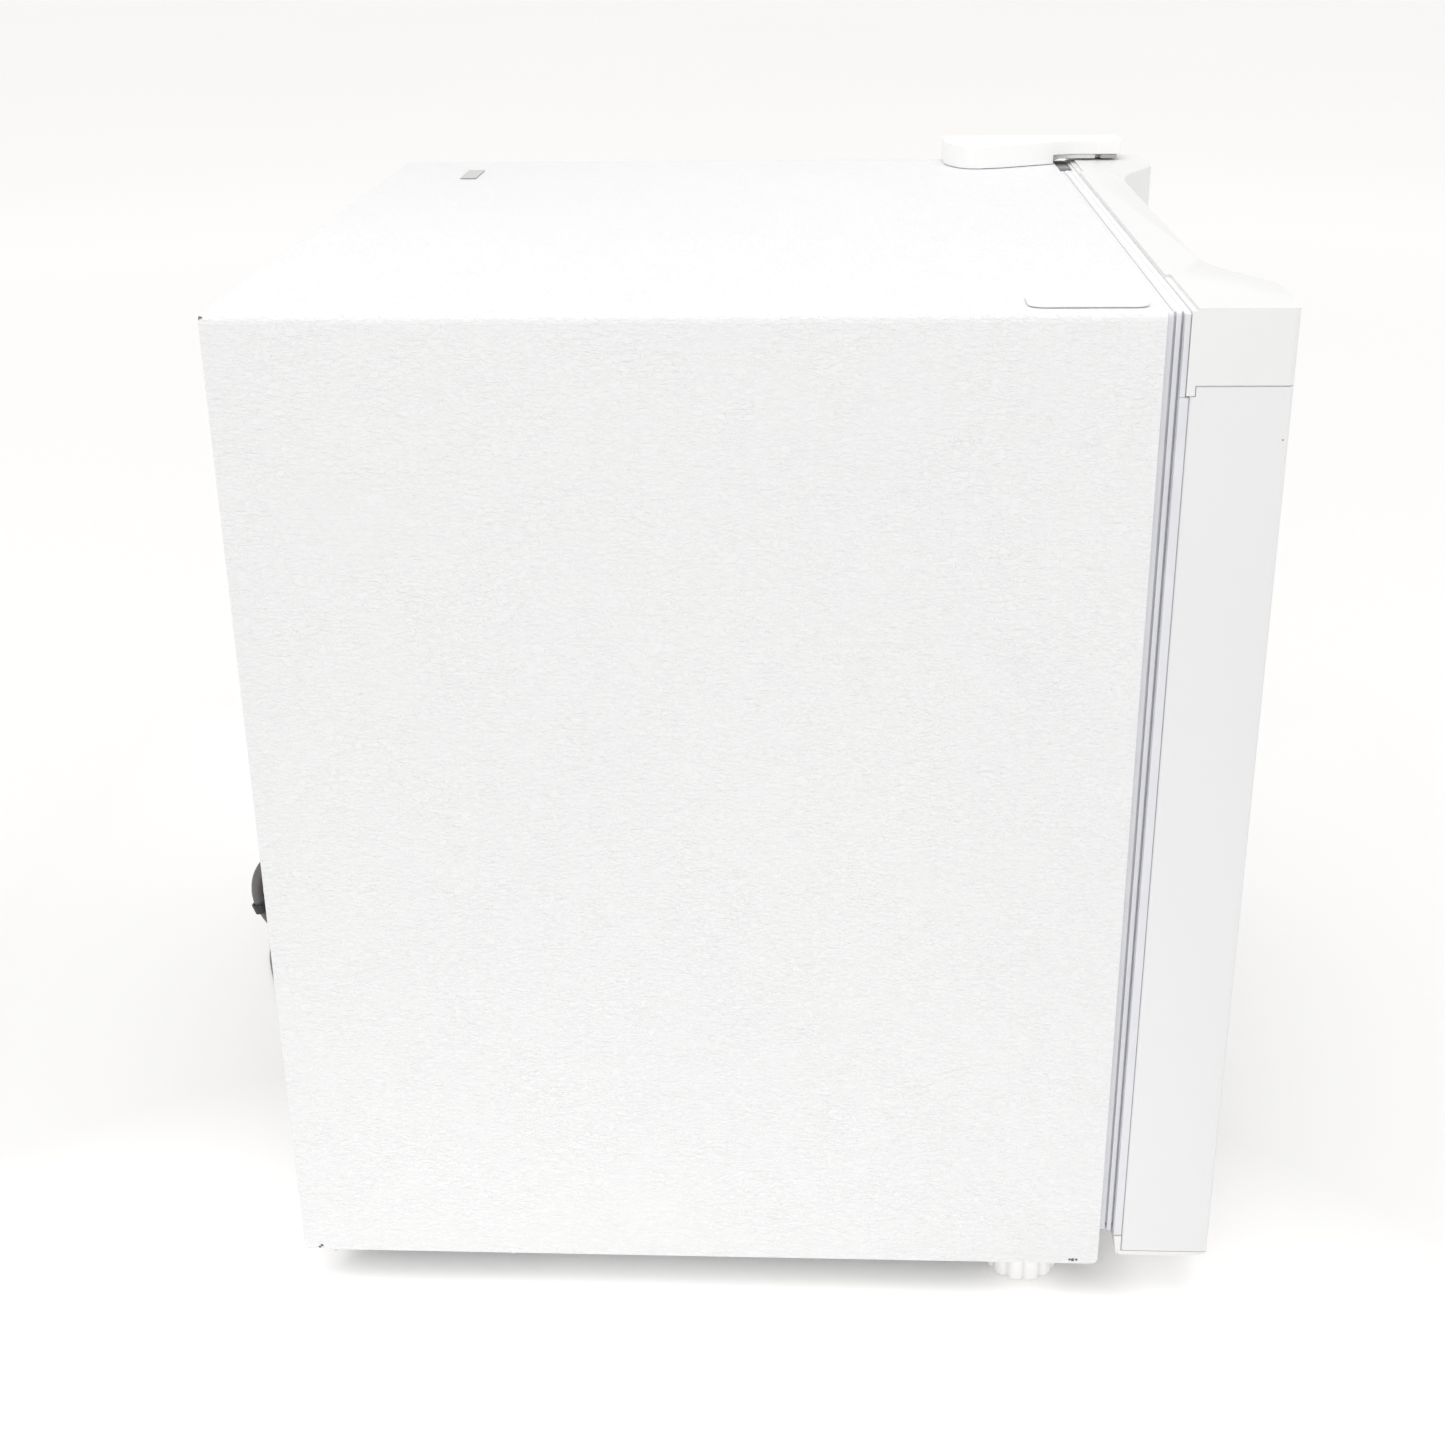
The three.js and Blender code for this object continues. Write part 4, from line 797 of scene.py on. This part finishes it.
def machine_parts():
    cx, cy = 30.0, 336.0
    z = ZB + 14
    shell = smooth_profile([(0, 0), (18, 0), (34, 0.6), (43, 3.5), (47.6, 9), (49, 16), (49.4, 26), (49.5, 43.6)], 4) + [(50.6, 44.2), (51.4, 44.8), (51.5, 45.6), (51.5, 48.4), (51.4, 49.2), (50.6, 49.8), (49.6, 50.4)] \
        + smooth_profile([(49.5, 51), (49.3, 66), (48.8, 80), (46.4, 90), (40.5, 99), (30, 104.8), (16, 108.2), (0.01, 109)], 4)[1:-1] + [(0, 109)]
    stub = lambda nm, a, b, r: sweep(nm, [row(tuple(np.array(a) + (np.array(b) - np.array(a)) * t)) for t in (0, 0.25, 0.5, 0.75, 1)], r, 24)
    parts = [lathe("c1", shell, row((cx, cy, z)), segments=96),
             rounded_plate("c2", cx - 72, cx + 72, cy - 40, cy + 40, ZB + 12, ZB + 15, 10),
             stub("c3", (cx - 34, cy + 20, ZB + 60), (cx - 62, cy + 30, ZB + 60), 4.2), stub("c4", (cx - 40, cy - 12, ZB + 74), (cx - 64, cy - 18, ZB + 74), 3.6),
             stub("c5", (cx + 38, cy, ZB + 60), (cx + 53.8, cy, ZB + 60), 15.0)]
    for a in (-1, 1):
        for b in (-1, 1):
            parts.append(lathe("c6", [(0, 0), (6.2, 0), (6.4, 0.4), (6.4, 1.2), (3.4, 1.4), (3.4, 4.2), (3.0, 4.8), (0, 4.8)], row((cx + a * 60, cy + b * 29, ZB + 15)), segments=32))
    finish_mesh(merged("compressor_finished", parts), "compressor", angle=38)
    for i, (a, b) in enumerate(((-1, -1), (1, -1), (-1, 1), (1, 1))):
        node = f"compressor_mount_{i + 1}"
        finish_mesh(lathe(node + "_finished", [(0, 0), (9.4, 0), (10, 0.5), (10, 2.5), (9.4, 3.2), (7.9, 3.9), (7.4, 4.6), (7.4, 7.5), (7.9, 8.2), (9.2, 8.9), (9.5, 9.5), (9.5, 10.9), (9.0, 11.4), (0, 11.4)],
                          row((cx + a * 60, cy + b * 29, ZB + 0.3)), segments=40), node, angle=40)
    finish_mesh(sweep("suction_tube_finished", spline([row(p) for p in ((cx - 62.6, cy + 30.2, ZB + 60), (cx - 72, cy + 34, ZB + 60), (cx - 84, cy + 36, ZB + 66), (cx - 90, cy + 34, ZB + 84), (cx - 90, cy + 28, ZB + 112), (cx - 90, cy + 20, ZB + 134), (cx - 90, cy + 18, 171.4))], 8), 4.0, 24), "suction_tube", angle=50)
    finish_mesh(sweep("discharge_tube_finished", spline([row(p) for p in ((cx - 64.6, cy - 18.2, ZB + 74), (cx - 74, cy - 20, ZB + 74), (cx - 92, cy - 18, ZB + 76), (cx - 112, cy - 20, ZB + 84), (cx - 118, cy - 26, ZB + 100), (cx - 118, cy - 28, ZB + 126), (cx - 118, cy - 28, 171.4))], 8), 3.0, 20), "discharge_tube", angle=50)
    drier = [(0, 0), (2.2, 0), (2.2, 12), (2.5, 13.6), (4.2, 16.2), (7.0, 18.8), (8.9, 21.6), (9.6, 25), (9.6, 36), (9.15, 36.8), (9.15, 38.2), (9.6, 39), (9.6, 72), (9.15, 72.8), (9.15, 74.2), (9.6, 75), (9.6, 84), (8.9, 87.6), (6.6, 91.8), (4.0, 95.6), (2.6, 99), (2.4, 101), (2.4, 122), (0, 122)]
    finish_mesh(lathe("filter_drier_finished", drier, row((-148, cy + 6, ZB + 27)), segments=48), "filter_drier", angle=40)
    for node, s in (("rear_foot_left", -1), ("rear_foot_right", 1)):
        finish_mesh(lathe(node + "_finished", [(0, 0), (9.6, 0), (10.8, 0.3), (11.8, 1.0), (12, 1.8), (12, 4.6), (11.7, 6.2), (10.9, 10), (10.4, 12.4), (9.7, 17.4), (9.3, 18.1), (8.8, 18.3), (0, 18.3)], row((s * 189, 352, 0)), segments=56), node, angle=44)
    px = 186
    rail = [(-px + 17, -2, 212), (-px + 18, 14, 212), (-px + 24, 60, 212), (-px + 34, 74, 212), (-120, 77, 212), (0, 77, 212), (120, 77, 212), (px - 34, 74, 212), (px - 24, 60, 212), (px - 18, 14, 212), (px - 17, -2, 212)]
    finish_mesh(sweep("bottle_rail_finished", spline([row(p) for p in rail], 10), 2.2, 20), "bottle_rail", angle=50)


machine_parts()


def foot(node, sign):
    """Fluted levelling knob: twelve round lobes, softened at both rims, on its threaded stem."""
    x, y = sign * 202.0, 34.5 + YS
    n, lobes = 192, 12

    def ring(z, shrink):
        pts = []
        for k in range(n):
            a = k / n * 2 * math.pi
            phase = abs(((k / n * lobes) % 1) * 2 - 1)
            r = 18.0 - 2.3 * phase ** 3.2 - shrink
            pts.append(Vector((x + r * math.cos(a), y + r * math.sin(a), z)) * MM)
        return pts

    def disc(z, r):
        return [Vector((x + r * math.cos(k / n * 2 * math.pi), y + r * math.sin(k / n * 2 * math.pi), z)) * MM for k in range(n)]

    rings = [disc(0.0, 12.9), disc(0.15, 13.5), disc(0.9, 14.0), ring(0.95, 2.4), ring(1.15, 1.2), ring(1.7, 0.5), ring(2.6, 0.08), ring(3.4, 0.0),
             ring(14.6, 0.0), ring(15.6, 0.1), ring(16.4, 0.5), ring(16.9, 1.2), ring(17.15, 2.4), disc(17.2, 12.6), disc(17.2, 10.3), disc(17.5, 9.9), disc(19.1, 9.8), disc(19.4, 9.4),
             disc(19.4, 4.2), disc(19.6, 3.9)]
    z = 19.9
    while z < 46.4:          # thread
        rings += [disc(z, 3.9), disc(z + 0.42, 3.45), disc(z + 0.84, 3.9)]
        z += 1.25
    rings += [disc(46.6, 3.6), disc(47.0, 3.1)]
    obj = loft(node + "_finished", rings)
    return finish_mesh(obj, node, COVER, angle=50)


foot("front_foot_left", -1)
foot("front_foot_right", 1)

# ------------------------------------------------------------------ studio
def studio():
    bm = bmesh.new()
    bmesh.ops.create_grid(bm, x_segments=8, y_segments=8, size=30.0)
    floor = new_object("studio_floor", bm)
    n = Nodes("studio_floor")
    cloud = n.noise(0.8, 3.0, 0.5)
    n.base(n.mix(cloud, (0.86, 0.855, 0.85), (0.88, 0.877, 0.872)), 0.85)
    # the paper sweep glows a little as painted light: more towards the back, most of all on the apron in front of
    # the left side, and in a halo round the cabinet's footprint that lifts the floor's shade beside it, fading out
    # under the cabinet
    xyz = n.new("ShaderNodeSeparateXYZ")
    n.link(n.co, xyz.inputs[0])
    x, y = xyz.outputs["X"], xyz.outputs["Y"]

    def away(cx, cy, sx=1.0, sy=1.0):
        dx, dy = n.math("MULTIPLY", n.math("SUBTRACT", x, cx), sx), n.math("MULTIPLY", n.math("SUBTRACT", y, cy), sy)
        return n.math("SQRT", n.math("ADD", n.math("MULTIPLY", dx, dx), n.math("MULTIPLY", dy, dy)), 0.0)

    def outside(hx, cy, hy):
        dx = n.math("SUBTRACT", n.math("ABSOLUTE", x, 0.0), hx)
        dy = n.math("SUBTRACT", n.math("ABSOLUTE", n.math("SUBTRACT", y, cy), 0.0), hy)
        return n.math("MAXIMUM", dx, dy)

    n.bsdf.inputs["Emission Color"].default_value = (1.0, 0.992, 0.98, 1)
    far = n.remap(away(0.0, 0.0), 0.5, 3.0, 0.02, 0.22)
    apron = n.remap(away(-0.36, 0.06, 1.0, 0.75), 0.15, 0.36, 0.34, 0.0)
    gap = outside(0.228, 0.02, 0.205)
    halo = n.math("MULTIPLY", n.remap(gap, 0.0, 0.30, 0.17, 0.0), n.remap(y, -0.25, 0.1, 0.35, 1.0))
    near = n.math("MULTIPLY", n.math("ADD", apron, halo), n.remap(gap, -0.035, 0.012, 0.05, 1.0))
    n.link(n.math("ADD", far, near), n.bsdf.inputs["Emission Strength"])
    floor.data.materials.append(n.mat)
    world = bpy.data.worlds.new("studio_world")
    scene.world = world
    world.use_nodes = True
    bg = world.node_tree.nodes["Background"]
    bg.inputs["Color"].default_value = (1.0, 0.995, 0.985, 1)
    bg.inputs["Strength"].default_value = 0.82

    def area(name, place, target, size, power, colour=(1, 1, 1)):
        data = bpy.data.lights.new(name, "AREA")
        data.shape = "RECTANGLE"
        data.size, data.size_y = size
        data.energy = power
        data.color = colour
        obj = bpy.data.objects.new(name, data)
        obj.location = place
        obj.rotation_mode = "QUATERNION"
        obj.rotation_quaternion = (Vector(target) - Vector(place)).to_track_quat("-Z", "Y")
        scene.collection.objects.link(obj)

    area("top_light", (-0.3, 0.1, 2.4), (0, 0, 0.2), (2.4, 2.4), 26)
    area("side_light", (-2.3, 0.15, 1.25), (0, 0, 0.2), (1.8, 1.6), 4, (1, 0.995, 0.985))
    area("front_light", (-0.6, -2.6, 1.2), (0, 0, 0.25), (1.6, 1.4), 1.5, (0.98, 0.99, 1))


studio()
scene.view_settings.view_transform = "Standard"
scene.view_settings.look = "None"
scene.view_settings.exposure = 0.0
scene.view_settings.gamma = 1.0
